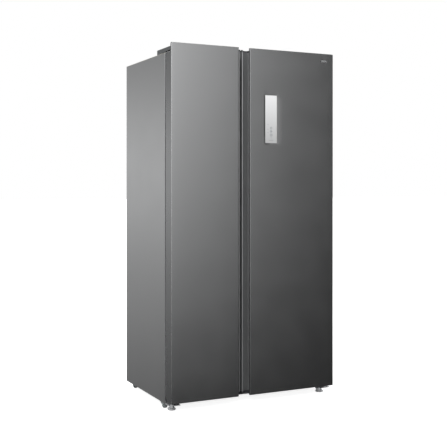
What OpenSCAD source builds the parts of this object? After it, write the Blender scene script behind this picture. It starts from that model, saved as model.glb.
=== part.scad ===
// Side by side refrigerator: a narrow freezer on the left and a wide fridge on the right.
// The front faces -Y, +X is to the viewer's right, and Z is up from the floor.
// The origin is on the floor, at the middle of the width and of the depth.

/* [Overall] */
// Width of the cabinet, and of the two doors with the grip channel between them
body_w = 910; // [760:1:1100]
// Depth from the door fronts to the back of the cabinet
body_d = 626; // [520:1:760]
// Height of the door fronts
door_h = 1720; // [1430:1:2070]
// Height of the door bottoms above the floor
door_clear = 46; // [44:1:60]

/* [Cabinet] */
// How far the cabinet's underside is below the door bottoms
base_drop = 13; // [10:1:16]
// How far the door tops stand above the cabinet's top
head_rise = 39; // [32:1:47]
// Insulated wall beside the freezer
freezer_wall = 58; // [50:1:70]
// Insulated wall beside the fridge
fridge_wall = 45; // [40:1:56]
// Insulated wall between the two compartments
mullion_w = 60; // [54:1:72]
// Insulated ceiling
top_wall = 55; // [46:1:66]
// Insulated floor
floor_wall = 60; // [50:1:72]
// Insulated back wall
back_wall = 60; // [50:1:72]
// Insulation over and in front of the machine room
step_wall = 45; // [38:1:54]
// Steel sheet of the casing
sheet_t = 1; // [0.6:0.1:1.2]
// Thickness of the steel and plastic edges round the cabinet's front
front_t = 1.5; // [1.2:0.1:2]
// Plastic sheet of the inner liners
liner_t = 1.5; // [1:0.1:2]
// Width of a liner's front flange
flange_w = 14; // [10:1:18]

/* [Machine room] */
// Height of the machine room at the bottom of the back
room_h = 210; // [175:1:252]
// Depth of the machine room
room_d = 200; // [170:1:240]
// Radius of the compressor's can
can_r = 72; // [60:1:82]
// Radius of the condenser fan over its blades
cond_fan_r = 62; // [50:1:66]

/* [Doors] */
// Middle of the grip channel, to the right of the cabinet's middle
split_x = -64; // [-110:1:0]
// Width of the grip channel between the two front panels
channel_w = 62; // [48:1:66]
// Gap between the two doors behind the channel
door_split = 8; // [8:1:12]
// Thickness of a door without its seal
door_t = 67; // [64:1:80]
// Gap between a closed door and the cabinet
seal_gap = 14; // [13:1:17]
// Steel sheet of the door panels
skin_t = 1; // [0.6:0.1:1.2]
// Depth of the front panel's folded edge beside the grip
fold_d = 12; // [10:1:15]
// How far fingers reach in behind the front panel
grip_in = 18; // [15:1:22]
// Depth of the grip channel
grip_d = 52; // [46:1:55]
// How far the edge between the doors stands behind the front
lip_d = 36; // [30:1:40]
// Wall of the grip's moulding
trim_t = 2; // [1.5:0.1:3]
// Thickness of the door's end caps
cap_t = 14; // [11:1:18]
// Depth of the raised rim on the inside of a door
dyke_d = 50; // [40:1:60]
// Width of that rim
dyke_w = 14; // [11:1:18]
// Width of the magnetic seal
seal_w = 13; // [11:1:16]

/* [Hinges] */
// Distance of the hinge pins from the door's outer side
pin_side = 22; // [18:1:23]
// Distance of the hinge pins behind the door's front
pin_front = 41; // [34:1:42]
// Radius of the hinge pins
pin_r = 5; // [4:0.5:6]
// Radial clearance of a pin, shaft or foot in its hole
run_fit = 0.05; // [0.03:0.01:0.08]
// How far a door opens
door_swing = 120; // [95:5:120]
// Thickness of the hinge plates
plate_t = 3; // [2:0.5:4]
// Height of the covers over the top hinges
cover_h = 26; // [22:1:30]
// Width of the covers over the top hinges
cover_w = 86; // [72:1:103]
// How far back the covers reach on the cabinet's top
cover_l = 123; // [103:1:147]

/* [Feet and rollers] */
// Radius of a levelling foot's disc
foot_r = 20; // [17:1:22]
// Distance of a foot from the cabinet's side
foot_side = 35; // [34:1:42]
// Distance of a foot behind the door fronts
foot_front = 79; // [76:1:84]
// Radius of a roller
roller_r = 15; // [12.5:0.5:16]
// Width of a roller
roller_w = 17; // [14:1:20]
// Radius of a roller's axle
axle_r = 4; // [3:0.5:5]

/* [Inside] */
// Number of shelves in the freezer
freezer_levels = 6; // [4:1:7]
// Number of shelves in the fridge
fridge_levels = 5; // [4:1:7]
// Thickness of the glass shelves
glass_t = 4; // [3:0.5:6]
// Height of the zone that holds two drawers
drawer_zone = 395; // [380:1:450]
// Distance from the cabinet's front to the shelves
shelf_in = 114; // [95:1:136]
// Wall of the drawers and bins
tub_t = 2.2; // [1.8:0.1:3]
// Depth of a door bin
bin_d = 92; // [77:1:110]
// Depth of the lowest door bin, in front of the drawers
low_bin_d = 66; // [55:1:79]
// Height of a door bin
bin_h = 96; // [80:1:115]
// Depth of the space behind the freezer's back cover
evap_room = 58; // [50:1:66]

/* [Front fittings] */
// Width of the glass display on the fridge door
display_w = 67; // [56:1:80]
// Height of the glass display
display_h = 240; // [200:1:288]
// Distance of the display's bottom above the door bottom
display_z = 1251; // [900:1:1300]
// Distance of the display from the fridge door's outer side
display_side = 335; // [280:1:360]
// Width of the blank name plate
badge_w = 28; // [23:1:33]
// Height of the blank name plate
badge_h = 11; // [9:1:16]
// Distance of the name plate from the fridge door's outer side
badge_side = 43; // [40:1:60]
// Distance of the name plate's top below the door top
badge_down = 33; // [26:1:60]

/* [Hidden] */
$fn = 48;
// gap between pieces on different bodies
gap = 0.3;
// how far a cutting shape runs past the face that it cuts
over = 1;
front_y = -body_d / 2;
back_y = body_d / 2;
door_z0 = door_clear;
door_z1 = door_clear + door_h;
cab_y0 = front_y + door_t + seal_gap;
cab_z0 = door_z0 - base_drop;
cab_z1 = door_z1 - head_rise;
half_w = body_w / 2;
// walls of the two compartments
freezer_x0 = -half_w + freezer_wall;
freezer_x1 = split_x - mullion_w / 2;
fridge_x0 = split_x + mullion_w / 2;
fridge_x1 = half_w - fridge_wall;
cav_z0 = cab_z0 + floor_wall;
cav_z1 = cab_z1 - top_wall;
cav_y1 = back_y - back_wall;
// the machine room, and the step that it makes in the compartments
room_y0 = back_y - room_d;
room_z1 = cab_z0 + room_h;
step_y = room_y0 - step_wall;
step_z = room_z1 + step_wall;
// shelves and drawers
shelf_y0 = cab_y0 + shelf_in;
evap_y = cav_y1 - evap_room;
zone_z = max(cav_z0 + drawer_zone, step_z + drawer_zone / 2);
ledge_w = 9;
ledge_h = 7;
trim_d = 7;
duct_d = 28;
duct_w = 150;
drawer_lip = 8;
drawer_y0 = shelf_y0 + drawer_lip;
rim_t = 3;
// doors, measured as u from the outer side, v from the front
rim_v = door_t - 7;
nose_r = 13;
notch_room = 3;
// the notch round the top hinge clears the cover's nose when the door is fully open
notch_v = pin_front - pin_side * tan(door_swing - 90) - nose_r / cos(door_swing - 90) - notch_room;
notch_h = head_rise + notch_room;
notch_u = pin_side + nose_r + 2;
block_u = 60;
block_h = 20;
swing_clear = 4;
seal_u = 28;

// ---------- helpers ----------

// A box from its lowest to its highest corner
module block(lo, hi) translate(lo) cube(hi - lo);

// A flat outline in X and Z, carried along Y
module along_y(y0, y1) translate([0, y1, 0]) rotate([90, 0, 0]) linear_extrude(y1 - y0) children();

// A flat outline in Y and Z, carried along X
module along_x(x0, x1) translate([x0, 0, 0]) rotate([90, 0, 90]) linear_extrude(x1 - x0) children();

// A disc or shaft along X, from x0 to x1
module shaft_x(x0, x1, y, z, r) translate([x0, y, z]) rotate([0, 90, 0]) cylinder(h = x1 - x0, r = r);

// A disc or shaft along Y, from y0 to y1
module shaft_y(x, y0, y1, z, r) translate([x, y1, z]) rotate([90, 0, 0]) cylinder(h = y1 - y0, r = r);

// Puts a door's own frame in place: side is -1 for the left door and 1 for the right one
module hang(side) {
    translate([side * half_w, front_y, 0])
        if (side < 0) children();
        else mirror([1, 0, 0]) children();
}

// The front panel's width, the width behind the grip, and the compartment's far wall
function panel_w(side) = half_w - side * split_x - channel_w / 2;
function rear_w(side) = panel_w(side) + (channel_w - door_split) / 2;
function wall_u(side) = side < 0 ? freezer_wall : fridge_wall;
function far_u(side) = half_w - side * split_x - mullion_w / 2;

// How far in a point at depth v may be, to clear the wall between the compartments as it swings
function swing_u(side, v) =
    pin_side + sqrt(pow(far_u(side) - pin_side, 2) - pow(v - pin_front, 2)) - swing_clear;
function dyke_u0(side) = wall_u(side) + 12;
function dyke_u1(side) = swing_u(side, door_t + dyke_d);
dyke_z0 = cav_z0 + 12;
dyke_z1 = cav_z1 - 12;

// ---------- cabinet ----------

// One compartment with its step over the machine room, grown by g on all sides but the front
module compartment(x0, x1, g, y0) {
    block([x0 - g, y0, step_z - g], [x1 + g, cav_y1 + g, cav_z1 + g]);
    block([x0 - g, y0, cav_z0 - g], [x1 + g, step_y + g, step_z]);
}

module cabinet_shell() color("#8d9194") {
    lip_x0 = freezer_x0 - flange_w;
    lip_x1 = fridge_x1 + flange_w;
    lip_z = cav_z1 + flange_w;
    along_y(cab_y0, back_y) polygon([[-half_w, cab_z0], [-half_w, cab_z1], [half_w, cab_z1],
        [half_w, cab_z0], [half_w - sheet_t, cab_z0], [half_w - sheet_t, cab_z1 - sheet_t],
        [-half_w + sheet_t, cab_z1 - sheet_t], [-half_w + sheet_t, cab_z0]]);
    along_y(cab_y0, cab_y0 + front_t) polygon([[-half_w, cab_z0], [-half_w, cab_z1], [half_w, cab_z1],
        [half_w, cab_z0], [lip_x1, cab_z0], [lip_x1, lip_z], [lip_x0, lip_z], [lip_x0, cab_z0]]);
}

module back_panel() color("#b9bcbf")
    block([-half_w + sheet_t, back_y - sheet_t, room_z1 + sheet_t],
        [half_w - sheet_t, back_y, cab_z1 - sheet_t]);

module cabinet_foam() color("#e8dcae") difference() {
    block([-half_w + sheet_t, cab_y0 + front_t, cab_z0 + sheet_t],
        [half_w - sheet_t, back_y - sheet_t, cab_z1 - sheet_t]);
    compartment(freezer_x0, freezer_x1, liner_t, cab_y0);
    compartment(fridge_x0, fridge_x1, liner_t, cab_y0);
    block([-half_w, room_y0 - sheet_t, 0], [half_w, back_y + over, room_z1 + sheet_t]);
}

// The strips moulded in a liner's two walls, which carry a shelf or a drawer's rims at height z
module ledges(x0, x1, y0, y1, z) {
    block([x0, y0, z - ledge_h], [x0 + ledge_w, y1, z]);
    block([x1 - ledge_w, y0, z - ledge_h], [x1, y1, z]);
}

module liner(x0, x1, levels, back) color("#f4f5f5") {
    difference() {
        union() {
            compartment(x0, x1, liner_t, cab_y0);
            block([x0 - flange_w, cab_y0, cav_z0 - flange_w],
                [x1 + flange_w, cab_y0 + front_t, cav_z1 + flange_w]);
        }
        compartment(x0, x1, 0, cab_y0 - over);
    }
    for (i = [0 : levels - 1]) ledges(x0, x1, shelf_y0 + trim_d, back, shelf_z(i, levels));
    ledges(x0, x1, drawer_y0 + trim_d, step_y, lower_rim_z);
    ledges(x0, x1, drawer_y0 + trim_d, back, upper_rim_z);
}

module freezer_liner() liner(freezer_x0, freezer_x1, freezer_levels, evap_y - over);
module fridge_liner() liner(fridge_x0, fridge_x1, fridge_levels, cav_y1);

module mullion_plate() color("#c9ccce")
    block([freezer_x1 + flange_w, cab_y0, cav_z0 - flange_w],
        [fridge_x0 - flange_w, cab_y0 + front_t, cav_z1 + flange_w]);

// The underside, its upstand at the front, and the step over the machine room, in one folded sheet
module bottom_plate() color("#9a9da0") {
    x = half_w - sheet_t;
    block([freezer_x0 - flange_w, cab_y0, cab_z0],
        [fridge_x1 + flange_w, cab_y0 + front_t, cav_z0 - flange_w]);
    along_x(-x, x) polygon([[cab_y0 + front_t, cab_z0], [room_y0, cab_z0], [room_y0, room_z1],
        [back_y, room_z1], [back_y, room_z1 + sheet_t], [room_y0 - sheet_t, room_z1 + sheet_t],
        [room_y0 - sheet_t, cab_z0 + sheet_t], [cab_y0 + front_t, cab_z0 + sheet_t]]);
}

// ---------- machine room ----------

base_t = 1.5;
machine_z = cab_z0 + base_t;
machine_y = (room_y0 + back_y) / 2;
can_x = -half_w * 0.42;
fan_x = -10;
fan_w = 24;
fan_z = machine_z + cond_fan_r + 12;
bush_h = 10;

module compressor_base() color("#7e8285")
    block([-half_w + sheet_t, room_y0, cab_z0], [half_w - sheet_t, back_y - 2, machine_z]);

// A steel can on a foot plate, with its terminal box, on four rubber bushes
module compressor() color("#222426") {
    can_z = machine_z + bush_h;
    can_h = min(150, room_h - bush_h - 30);
    wall = 3;
    foot_a = can_r * 0.85;
    foot_end = 12;
    foot_t = 4;
    box_w = 52;
    box_z0 = can_z + 34;
    box_z1 = can_z + 92;
    difference() {
        union() {
            translate([can_x, machine_y, can_z]) rotate_extrude() polygon([[0, 0], [can_r - 10, 0],
                [can_r, 12], [can_r, can_h - 36], [can_r - 10, can_h - 14], [can_r * 0.5, can_h - 3],
                [0, can_h]]);
            block([can_x - foot_a - foot_end, machine_y - foot_a, can_z],
                [can_x + foot_a + foot_end, machine_y + foot_a, can_z + foot_t]);
            block([can_x + can_r - 8, machine_y - box_w / 2, box_z0],
                [can_x + can_r + 24, machine_y + box_w / 2, box_z1]);
        }
        translate([can_x, machine_y, can_z + wall]) cylinder(h = can_h - 44, r = can_r - 14);
    }
    for (i = [-1, 1], j = [-1, 1])
        translate([can_x + i * foot_a, machine_y + j * (foot_a - foot_end), machine_z])
            cylinder(h = bush_h, r = 9);
}

// Two end plates, fins, and the tubes that run through them
module fin_block(x0, x1, y0, y1, z0, z1, fins, rows, cols, tube_r) {
    step = (x1 - x0 - 1) / (fins - 1);
    for (i = [0 : fins - 1]) block([x0 + i * step, y0, z0], [x0 + i * step + 1, y1, z1]);
    for (r = [0 : rows - 1], c = [0 : cols - 1])
        shaft_x(x0, x1, y0 + (c + 0.5) * (y1 - y0) / cols, z0 + (r + 0.5) * (z1 - z0) / rows, tube_r);
}

module condenser() color("#33363a")
    fin_block(fan_x + fan_w + 14, min(fan_x + fan_w + 220, half_w - 60), room_y0 + 26, back_y - 34,
        machine_z, machine_z + 132, 15, 4, 3, 4);

// A square ring with a motor on three struts, and the shaft that the fan turns on
module condenser_fan_frame() color("#2b2d30") {
    half = cond_fan_r + 10;
    motor_r = 16;
    difference() {
        block([fan_x, machine_y - half, machine_z], [fan_x + fan_w, machine_y + half, fan_z + half]);
        shaft_x(fan_x - over, fan_x + fan_w + over, machine_y, fan_z, cond_fan_r + 2);
    }
    shaft_x(fan_x, fan_x + 8, machine_y, fan_z, motor_r);
    shaft_x(fan_x + 8, fan_x + fan_w - 2, machine_y, fan_z, 3);
    for (a = [0, 120, 240])
        translate([fan_x, machine_y, fan_z]) rotate([a, 0, 0])
            block([0, -4, motor_r - 2], [4, 4, cond_fan_r + 4]);
}

// A hub with pitched blades, bored for a shaft of radius r, made along X from the origin
module fan_wheel(blade_r, hub_r, hub_h, r, blades) difference() {
    union() {
        shaft_x(0, hub_h, 0, 0, hub_r);
        for (i = [0 : blades - 1]) rotate([i * 360 / blades, 0, 0])
            translate([hub_h / 2, 0, 0]) rotate([0, 0, 28])
                block([-0.8, -hub_r * 0.8, hub_r - 4], [0.8, hub_r * 0.8, blade_r]);
    }
    shaft_x(-over, hub_h + over, 0, 0, r + run_fit);
}

module condenser_fan() color("#e6e8ea")
    translate([fan_x + 8 + gap, machine_y, fan_z]) fan_wheel(cond_fan_r - 3, 15, 14, 3, 5);

module tub(lo, hi, t) difference() {
    block(lo, hi);
    block(lo + [t, t, t], hi + [-t, -t, over]);
}

module drip_tray() color("#3b3e41")
    tub([-half_w + 16, room_y0 + 18, machine_z], [can_x - can_r - 22, back_y - 28, machine_z + 34], 2);

inlet_x = half_w - 70;
inlet_w = 34;
inlet_z = machine_z + 24;
inlet_h = 26;

// The vented back of the machine room
module machine_cover() color("#a9adb0") {
    vent_t = 1.2;
    slot_l = 46;
    slot_h = 6;
    columns = 6;
    column_step = 90;
    rows = 8;
    row_step = 17;
    difference() {
        block([-half_w + sheet_t, back_y - vent_t, cab_z0], [half_w - sheet_t, back_y, room_z1]);
        for (c = [0 : columns - 1], r = [0 : rows - 1]) {
            x = (c - columns / 2) * column_step + (column_step - slot_l) / 2;
            z = machine_z + 40 + r * row_step;
            block([x, back_y - vent_t - over, z], [x + slot_l, back_y + over, z + slot_h]);
        }
        block([inlet_x, back_y - vent_t - over, inlet_z],
            [inlet_x + inlet_w, back_y + over, inlet_z + inlet_h]);
    }
}

// The socket that the mains lead plugs into
module mains_inlet() color("#1d1f21") {
    wall = 4;
    socket_y = back_y - 18;
    pin_step = 8;
    difference() {
        block([inlet_x, back_y - 24, inlet_z], [inlet_x + inlet_w, back_y - 0.5, inlet_z + inlet_h]);
        block([inlet_x + wall, socket_y, inlet_z + wall],
            [inlet_x + inlet_w - wall, back_y, inlet_z + inlet_h - wall]);
    }
    for (i = [-1, 0, 1])
        block([inlet_x + inlet_w / 2 + i * pin_step - 1, socket_y, inlet_z + inlet_h / 2 - 3],
            [inlet_x + inlet_w / 2 + i * pin_step + 1, back_y - 6, inlet_z + inlet_h / 2 + 3]);
}

// ---------- inside the compartments ----------

evap_fan_r = 46;
evap_fan_x = (freezer_x0 + freezer_x1) / 2;
evap_fan_z = zone_z + 420;
cover_t = 2.5;

function shelf_z(i, levels) = zone_z + i * (cav_z1 - zone_z) / levels;
lower_rim_z = step_z - 22;
upper_rim_z = zone_z - 26;

module evaporator() color("#c4c8cb")
    fin_block(freezer_x0 + 18, freezer_x1 - 18, evap_y + 12, cav_y1 - 4,
        step_z + 40, step_z + 300, 16, 7, 2, 4);

// The freezer's inner back: air slots, and a grille with the fan's motor behind it
module evaporator_cover() color("#f1f2f3") {
    x0 = freezer_x0 + ledge_w + 1;
    x1 = freezer_x1 - ledge_w - 1;
    top = cav_z1 - 2;
    difference() {
        block([x0, evap_y, step_z], [x1, cav_y1, top]);
        block([x0 + cover_t, evap_y + cover_t, step_z - over], [x1 - cover_t, cav_y1 + over, top - cover_t]);
        shaft_y(evap_fan_x, evap_y - over, evap_y + 6, evap_fan_z, evap_fan_r);
        for (i = [0 : freezer_levels - 1], k = [-1, 1])
            block([evap_fan_x + k * 70 - 30, evap_y - over, shelf_z(i, freezer_levels) + 60],
                [evap_fan_x + k * 70 + 30, evap_y + 6, shelf_z(i, freezer_levels) + 68]);
    }
    shaft_y(evap_fan_x, evap_y, evap_y + 8, evap_fan_z, 15);
    shaft_y(evap_fan_x, evap_y + 8, evap_y + 28, evap_fan_z, 2.5);
    for (a = [0 : 60 : 300])
        translate([evap_fan_x, 0, evap_fan_z]) rotate([0, a, 0])
            block([-1.5, evap_y, 12], [1.5, evap_y + cover_t, evap_fan_r + 2]);
}

module evaporator_fan() color("#d9dcde")
    translate([evap_fan_x, evap_y + 8 + gap, evap_fan_z]) rotate([0, 0, 90])
        fan_wheel(evap_fan_r - 3, 12, 12, 2.5, 5);

// The column at the fridge's back that blows cold air between the shelves
module fridge_air_duct() color("#e4e6e8") {
    mid = (fridge_x0 + fridge_x1) / 2;
    difference() {
        block([mid - duct_w / 2, cav_y1 - duct_d, zone_z + 12], [mid + duct_w / 2, cav_y1, cav_z1 - 20]);
        for (i = [0 : fridge_levels - 1], k = [-1, 1])
            block([mid + k * 42 - 22, cav_y1 - duct_d - over, shelf_z(i, fridge_levels) + 90],
                [mid + k * 42 + 22, cav_y1 - duct_d + 9, shelf_z(i, fridge_levels) + 98]);
    }
}

module lamps() color("#fbfbf4")
    for (c = [(freezer_x0 + freezer_x1) / 2, (fridge_x0 + fridge_x1) / 2])
        block([c - 60, shelf_y0 - 10, cav_z1 - 9], [c + 60, shelf_y0 + 34, cav_z1]);

// Glass plates from wall to wall, each a little narrower than its compartment
shelf_gap = 0.5;
module shelves(x0, x1, levels, back) for (i = [0 : levels - 1])
    block([x0 + shelf_gap, shelf_y0 + trim_d, shelf_z(i, levels)],
        [x1 - shelf_gap, back, shelf_z(i, levels) + glass_t]);

module glass_shelves() color("#bcd4d2", 0.5) {
    shelves(freezer_x0, freezer_x1, freezer_levels, evap_y);
    shelves(fridge_x0, fridge_x1, fridge_levels, cav_y1 - duct_d);
}

// The front edges of the shelves stand above and below the glass
trim_over = 6;
module trims(x0, x1, levels) for (i = [0 : levels - 1])
    block([x0 + shelf_gap, shelf_y0, shelf_z(i, levels) - trim_over],
        [x1 - shelf_gap, shelf_y0 + trim_d, shelf_z(i, levels) + glass_t + trim_over]);

module shelf_trims() color("#d7dadc") {
    trims(freezer_x0, freezer_x1, freezer_levels);
    trims(fridge_x0, fridge_x1, fridge_levels);
}

// A drawer hangs by its rims on two ledges, behind a full-width front
module drawer(x0, x1, z0, rim_z, y1) {
    side = ledge_w + 1;
    top = rim_z + gap + rim_t;
    tub([x0 + side, drawer_y0, z0], [x1 - side, y1, top], tub_t);
    for (x = [x0 + gap, x1 - gap - side])
        block([x, drawer_y0, rim_z + gap], [x + side, y1, top]);
    block([x0 + 1, drawer_y0 - tub_t, z0], [x1 - 1, drawer_y0, top + 6]);
    block([x0 + 40, drawer_y0 - drawer_lip, top], [x1 - 40, drawer_y0 - tub_t, top + 6]);
}

low_end = step_y - 3;
module freezer_drawer_upper() color("#dfe9ee", 0.7)
    drawer(freezer_x0, freezer_x1, step_z + 4, upper_rim_z, evap_y - 4);
module freezer_drawer_lower() color("#dfe9ee", 0.7)
    drawer(freezer_x0, freezer_x1, cav_z0 + 4, lower_rim_z, low_end);
module crisper_upper() color("#dfe9ee", 0.7)
    drawer(fridge_x0, fridge_x1, step_z + 4, upper_rim_z, cav_y1 - 4);
module crisper_lower() color("#dfe9ee", 0.7)
    drawer(fridge_x0, fridge_x1, cav_z0 + 4, lower_rim_z, low_end);

// ---------- hinges, in a door's own frame ----------

cab_v = door_t + seal_gap;

// The top hinge: a plate screwed to the cabinet's top, with the pin that goes down into the door
module upper_hinge() {
    difference() {
        union() {
            block([pin_side - 10, pin_front, cab_z1], [pin_side + 10, cab_v + 8, cab_z1 + plate_t]);
            translate([pin_side, pin_front, cab_z1]) cylinder(h = plate_t, r = 10);
            block([pin_side - 10, cab_v + 6, cab_z1], [pin_side + 44, cab_v + 88, cab_z1 + plate_t]);
        }
        for (p = screw_spots) translate([p[0], p[1], cab_z1 - over]) cylinder(h = plate_t + 2, r = 3);
    }
    translate([pin_side, pin_front, door_z1 - notch_h - block_h + 2])
        cylinder(h = cab_z1 + over - (door_z1 - notch_h - block_h + 2), r = pin_r);
}

screw_spots = [[pin_side + 4, cab_v + 20], [pin_side + 34, cab_v + 20], [pin_side + 20, cab_v + 72]];

module hinge_screw() {
    cylinder(h = plate_t, r = 3);
    translate([0, 0, plate_t]) cylinder(h = 4, r = 6.5, $fn = 6);
}

module hinge_screws() color("#d0d2d4") for (side = [-1, 1], p = screw_spots)
    hang(side) translate([p[0], p[1], cab_z1]) hinge_screw();

// The bottom hinge: a plate under the cabinet with the lower pin, its collar and the foot's nut
module lower_hinge() difference() {
    nut_h = 8;
    union() {
        block([3, pin_front - 14, cab_z0 - plate_t], [foot_side + 25, cab_v + 76, cab_z0]);
        translate([pin_side, pin_front, cab_z0 - over])
            cylinder(h = base_drop + over + 24, r = pin_r);
        translate([pin_side, pin_front, cab_z0 - over])
            cylinder(h = base_drop + over + 0.5 - gap, r = 9);
        translate([foot_side, foot_front, cab_z0 - plate_t - nut_h])
            cylinder(h = nut_h + over, r = 10, $fn = 6);
    }
    translate([foot_side, foot_front, cab_z0 - plate_t - nut_h - over])
        cylinder(h = nut_h + plate_t + 2 * over, r = stem_r + run_fit);
    block([front_roller_u - cheek_gap, front_roller_v - roller_r - 2, cab_z0 - plate_t - over],
        [front_roller_u + roller_w + cheek_gap, front_roller_v + roller_r + 2, cab_z0 + over]);
}

module hinge_plates() color("#c7cacc") for (side = [-1, 1]) hang(side) {
    upper_hinge();
    lower_hinge();
}

cover_wall = 2;

// The cover: a low box on the cabinet with a round nose over the pin
module cover_form(inset) {
    top = cab_z1 + cover_h - inset;
    low = inset > 0 ? cab_z1 - over : cab_z1;
    block([pin_side - nose_r + inset, cab_v + inset, low],
        [pin_side - nose_r + cover_w - inset, cab_v + cover_l - inset, top]);
    block([pin_side - nose_r + inset, pin_front, low], [pin_side + nose_r - inset, cab_v + 4, top]);
    translate([pin_side, pin_front, low]) cylinder(h = top - low, r = nose_r - inset);
}

module hinge_covers() color("#2c2e30") for (side = [-1, 1]) hang(side) difference() {
    cover_form(0);
    cover_form(cover_wall);
}

// ---------- feet and rollers ----------

stem_r = 5;

module levelling_foot(side) color("#d5d7d9") hang(side) translate([foot_side, foot_front, 0])
    rotate_extrude() polygon([[0, 0], [foot_r - 3, 0], [foot_r, 2.5], [foot_r, 7], [foot_r - 2, 8.5],
        [9, 10], [stem_r, 12], [stem_r, cab_z0 - 0.5], [0, cab_z0 - 0.5]]);

front_roller_v = cab_v + 42;
front_roller_u = 9;
front_roller_z = roller_r + 2;
rear_roller_v = body_d - 45;
rear_roller_u = 26;
cheek_gap = 1.5;

module roller(side, u, v, z) color("#3a3d40") hang(side) difference() {
    shaft_x(u, u + roller_w, v, z, roller_r);
    shaft_x(u - over, u + roller_w + over, v, z, axle_r + run_fit);
}

// Two tapered cheeks with round ends on either side of a roller, joined by its axle
module roller_bracket(u, v, z, top, front, back) {
    cheek_t = 2;
    end_r = 9;
    for (x = [u - cheek_gap - cheek_t, u + roller_w + cheek_gap]) {
        shaft_x(x, x + cheek_t, v, z, end_r);
        along_x(x, x + cheek_t) polygon([[v - front, top], [v - front, top - 3], [v - end_r, z],
            [v + end_r, z], [v + back, top - 3], [v + back, top]]);
    }
    shaft_x(u - cheek_gap - cheek_t - 2, u + roller_w + cheek_gap + cheek_t + 2, v, z, axle_r);
}

module roller_brackets() color("#8f9598") for (side = [-1, 1]) hang(side) {
    roller_bracket(front_roller_u, front_roller_v, front_roller_z, cab_z0 - plate_t, 16, 30);
    roller_bracket(rear_roller_u, rear_roller_v, roller_r, cab_z0, 24, 24);
}

module front_roller(side) roller(side, front_roller_u, front_roller_v, front_roller_z);
module rear_roller(side) roller(side, rear_roller_u, rear_roller_v, roller_r);

// ---------- doors, in a door's own frame ----------

// The finger side of the grip, from the panel's fold to the door's edge
function grip_line(side) = let (w = panel_w(side), r = rear_w(side), g = w - grip_in) [
    [w - skin_t, fold_d], [g + 4, fold_d], [g, fold_d + 4], [g, grip_d - 14], [g + 4, grip_d - 6],
    [g + 12, grip_d - 1], [g + 21, grip_d], [r - 14, grip_d - 3], [r - 6, lip_d + 5], [r - 3, lip_d],
    [r, lip_d + 2]];

// The foam side of the grip, from the door's edge back to the fold
function grip_back(side) = let (w = panel_w(side), r = rear_w(side), g = w - grip_in) [
    [r - trim_t, grip_d + trim_t], [g + 21, grip_d + trim_t], [g + 11, grip_d + 1],
    [g + 2, grip_d - 4], [g - trim_t, grip_d - 13], [g - trim_t, fold_d + 3],
    [g + 3, fold_d - trim_t], [w - skin_t, fold_d - trim_t]];

// The notch for the top hinge, open to the back, to the outer side and upwards
module notch()
    block([-over, notch_v, door_z1 - notch_h], [notch_u, door_t + over, door_z1 + over]);

function window(side) = [for (w = side < 0 ? [] : [
    [display_side, display_side + display_w, door_z0 + display_z, door_z0 + display_z + display_h, 18],
    [badge_side, badge_side + badge_w, door_z1 - badge_down - badge_h, door_z1 - badge_down,
        skin_t + 0.5]]) w];

module windows(side) for (w = window(side)) block([w[0], -over, w[2]], [w[1], w[4], w[3]]);

module door_skin(side) color("#8b8e92") hang(side) {
    w = panel_w(side);
    difference() {
        translate([0, 0, door_z0]) linear_extrude(door_h) polygon([[0, 0], [w, 0], [w, fold_d],
            [w - skin_t, fold_d], [w - skin_t, skin_t], [skin_t, skin_t], [skin_t, rim_v], [0, rim_v]]);
        notch();
        windows(side);
    }
}

foam_z0 = door_z0 + cap_t;
foam_z1 = door_z1 - cap_t;

// The raised rim on the inside of a door, as a ring, inset for the foam that fills it
module dyke(side, inset, v0) difference() {
    u0 = dyke_u0(side);
    u1 = dyke_u1(side);
    block([u0 + inset, v0, dyke_z0 + inset], [u1 - inset, door_t + dyke_d - inset, dyke_z1 - inset]);
    block([u0 + dyke_w - inset, v0 - over, dyke_z0 + dyke_w - inset],
        [u1 - dyke_w + inset, door_t + dyke_d + over, dyke_z1 - dyke_w + inset]);
}

module hinge_blocks() {
    block([skin_t, skin_t, door_z1 - notch_h - block_h], [block_u, door_t - liner_t, door_z1 - cap_t]);
    block([skin_t, skin_t, door_z0 + cap_t], [block_u, door_t - liner_t, door_z0 + cap_t + 18]);
}

module door_foam(side) color("#e8dcae") hang(side) {
    r = rear_w(side);
    difference() {
        translate([0, 0, foam_z0]) linear_extrude(foam_z1 - foam_z0) polygon(concat(
            grip_back(side), [[panel_w(side) - skin_t, skin_t], [skin_t, skin_t],
            [skin_t, door_t - liner_t], [r - trim_t, door_t - liner_t]]));
        hinge_blocks();
        windows(side);
    }
}

// The foam strips that fill the raised rim
module door_rim_core(side) color("#e8dcae") hang(side) dyke(side, liner_t, door_t - liner_t);

module door_liner(side) color("#f4f5f5") hang(side) {
    r = rear_w(side);
    difference() {
        union() {
            block([0, door_t - liner_t, foam_z0], [r, door_t, foam_z1]);
            block([0, rim_v, foam_z0], [skin_t, door_t, foam_z1]);
            block([r - trim_t, rim_v, foam_z0], [r, door_t, foam_z1]);
            dyke(side, 0, door_t - over);
        }
        dyke(side, liner_t, door_t - liner_t - over);
        notch();
    }
}

module door_gasket(side) color("#9a9da0") hang(side) {
    u1 = rear_w(side) - 1;
    z0 = door_z0 + 11;
    z1 = cab_z1 - 23;
    v = door_t + seal_gap - gap;
    difference() {
        block([seal_u, door_t, z0], [u1, v, z1]);
        block([seal_u + seal_w, door_t - over, z0 + seal_w], [u1 - seal_w, v + over, z1 - seal_w]);
    }
}

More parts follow.
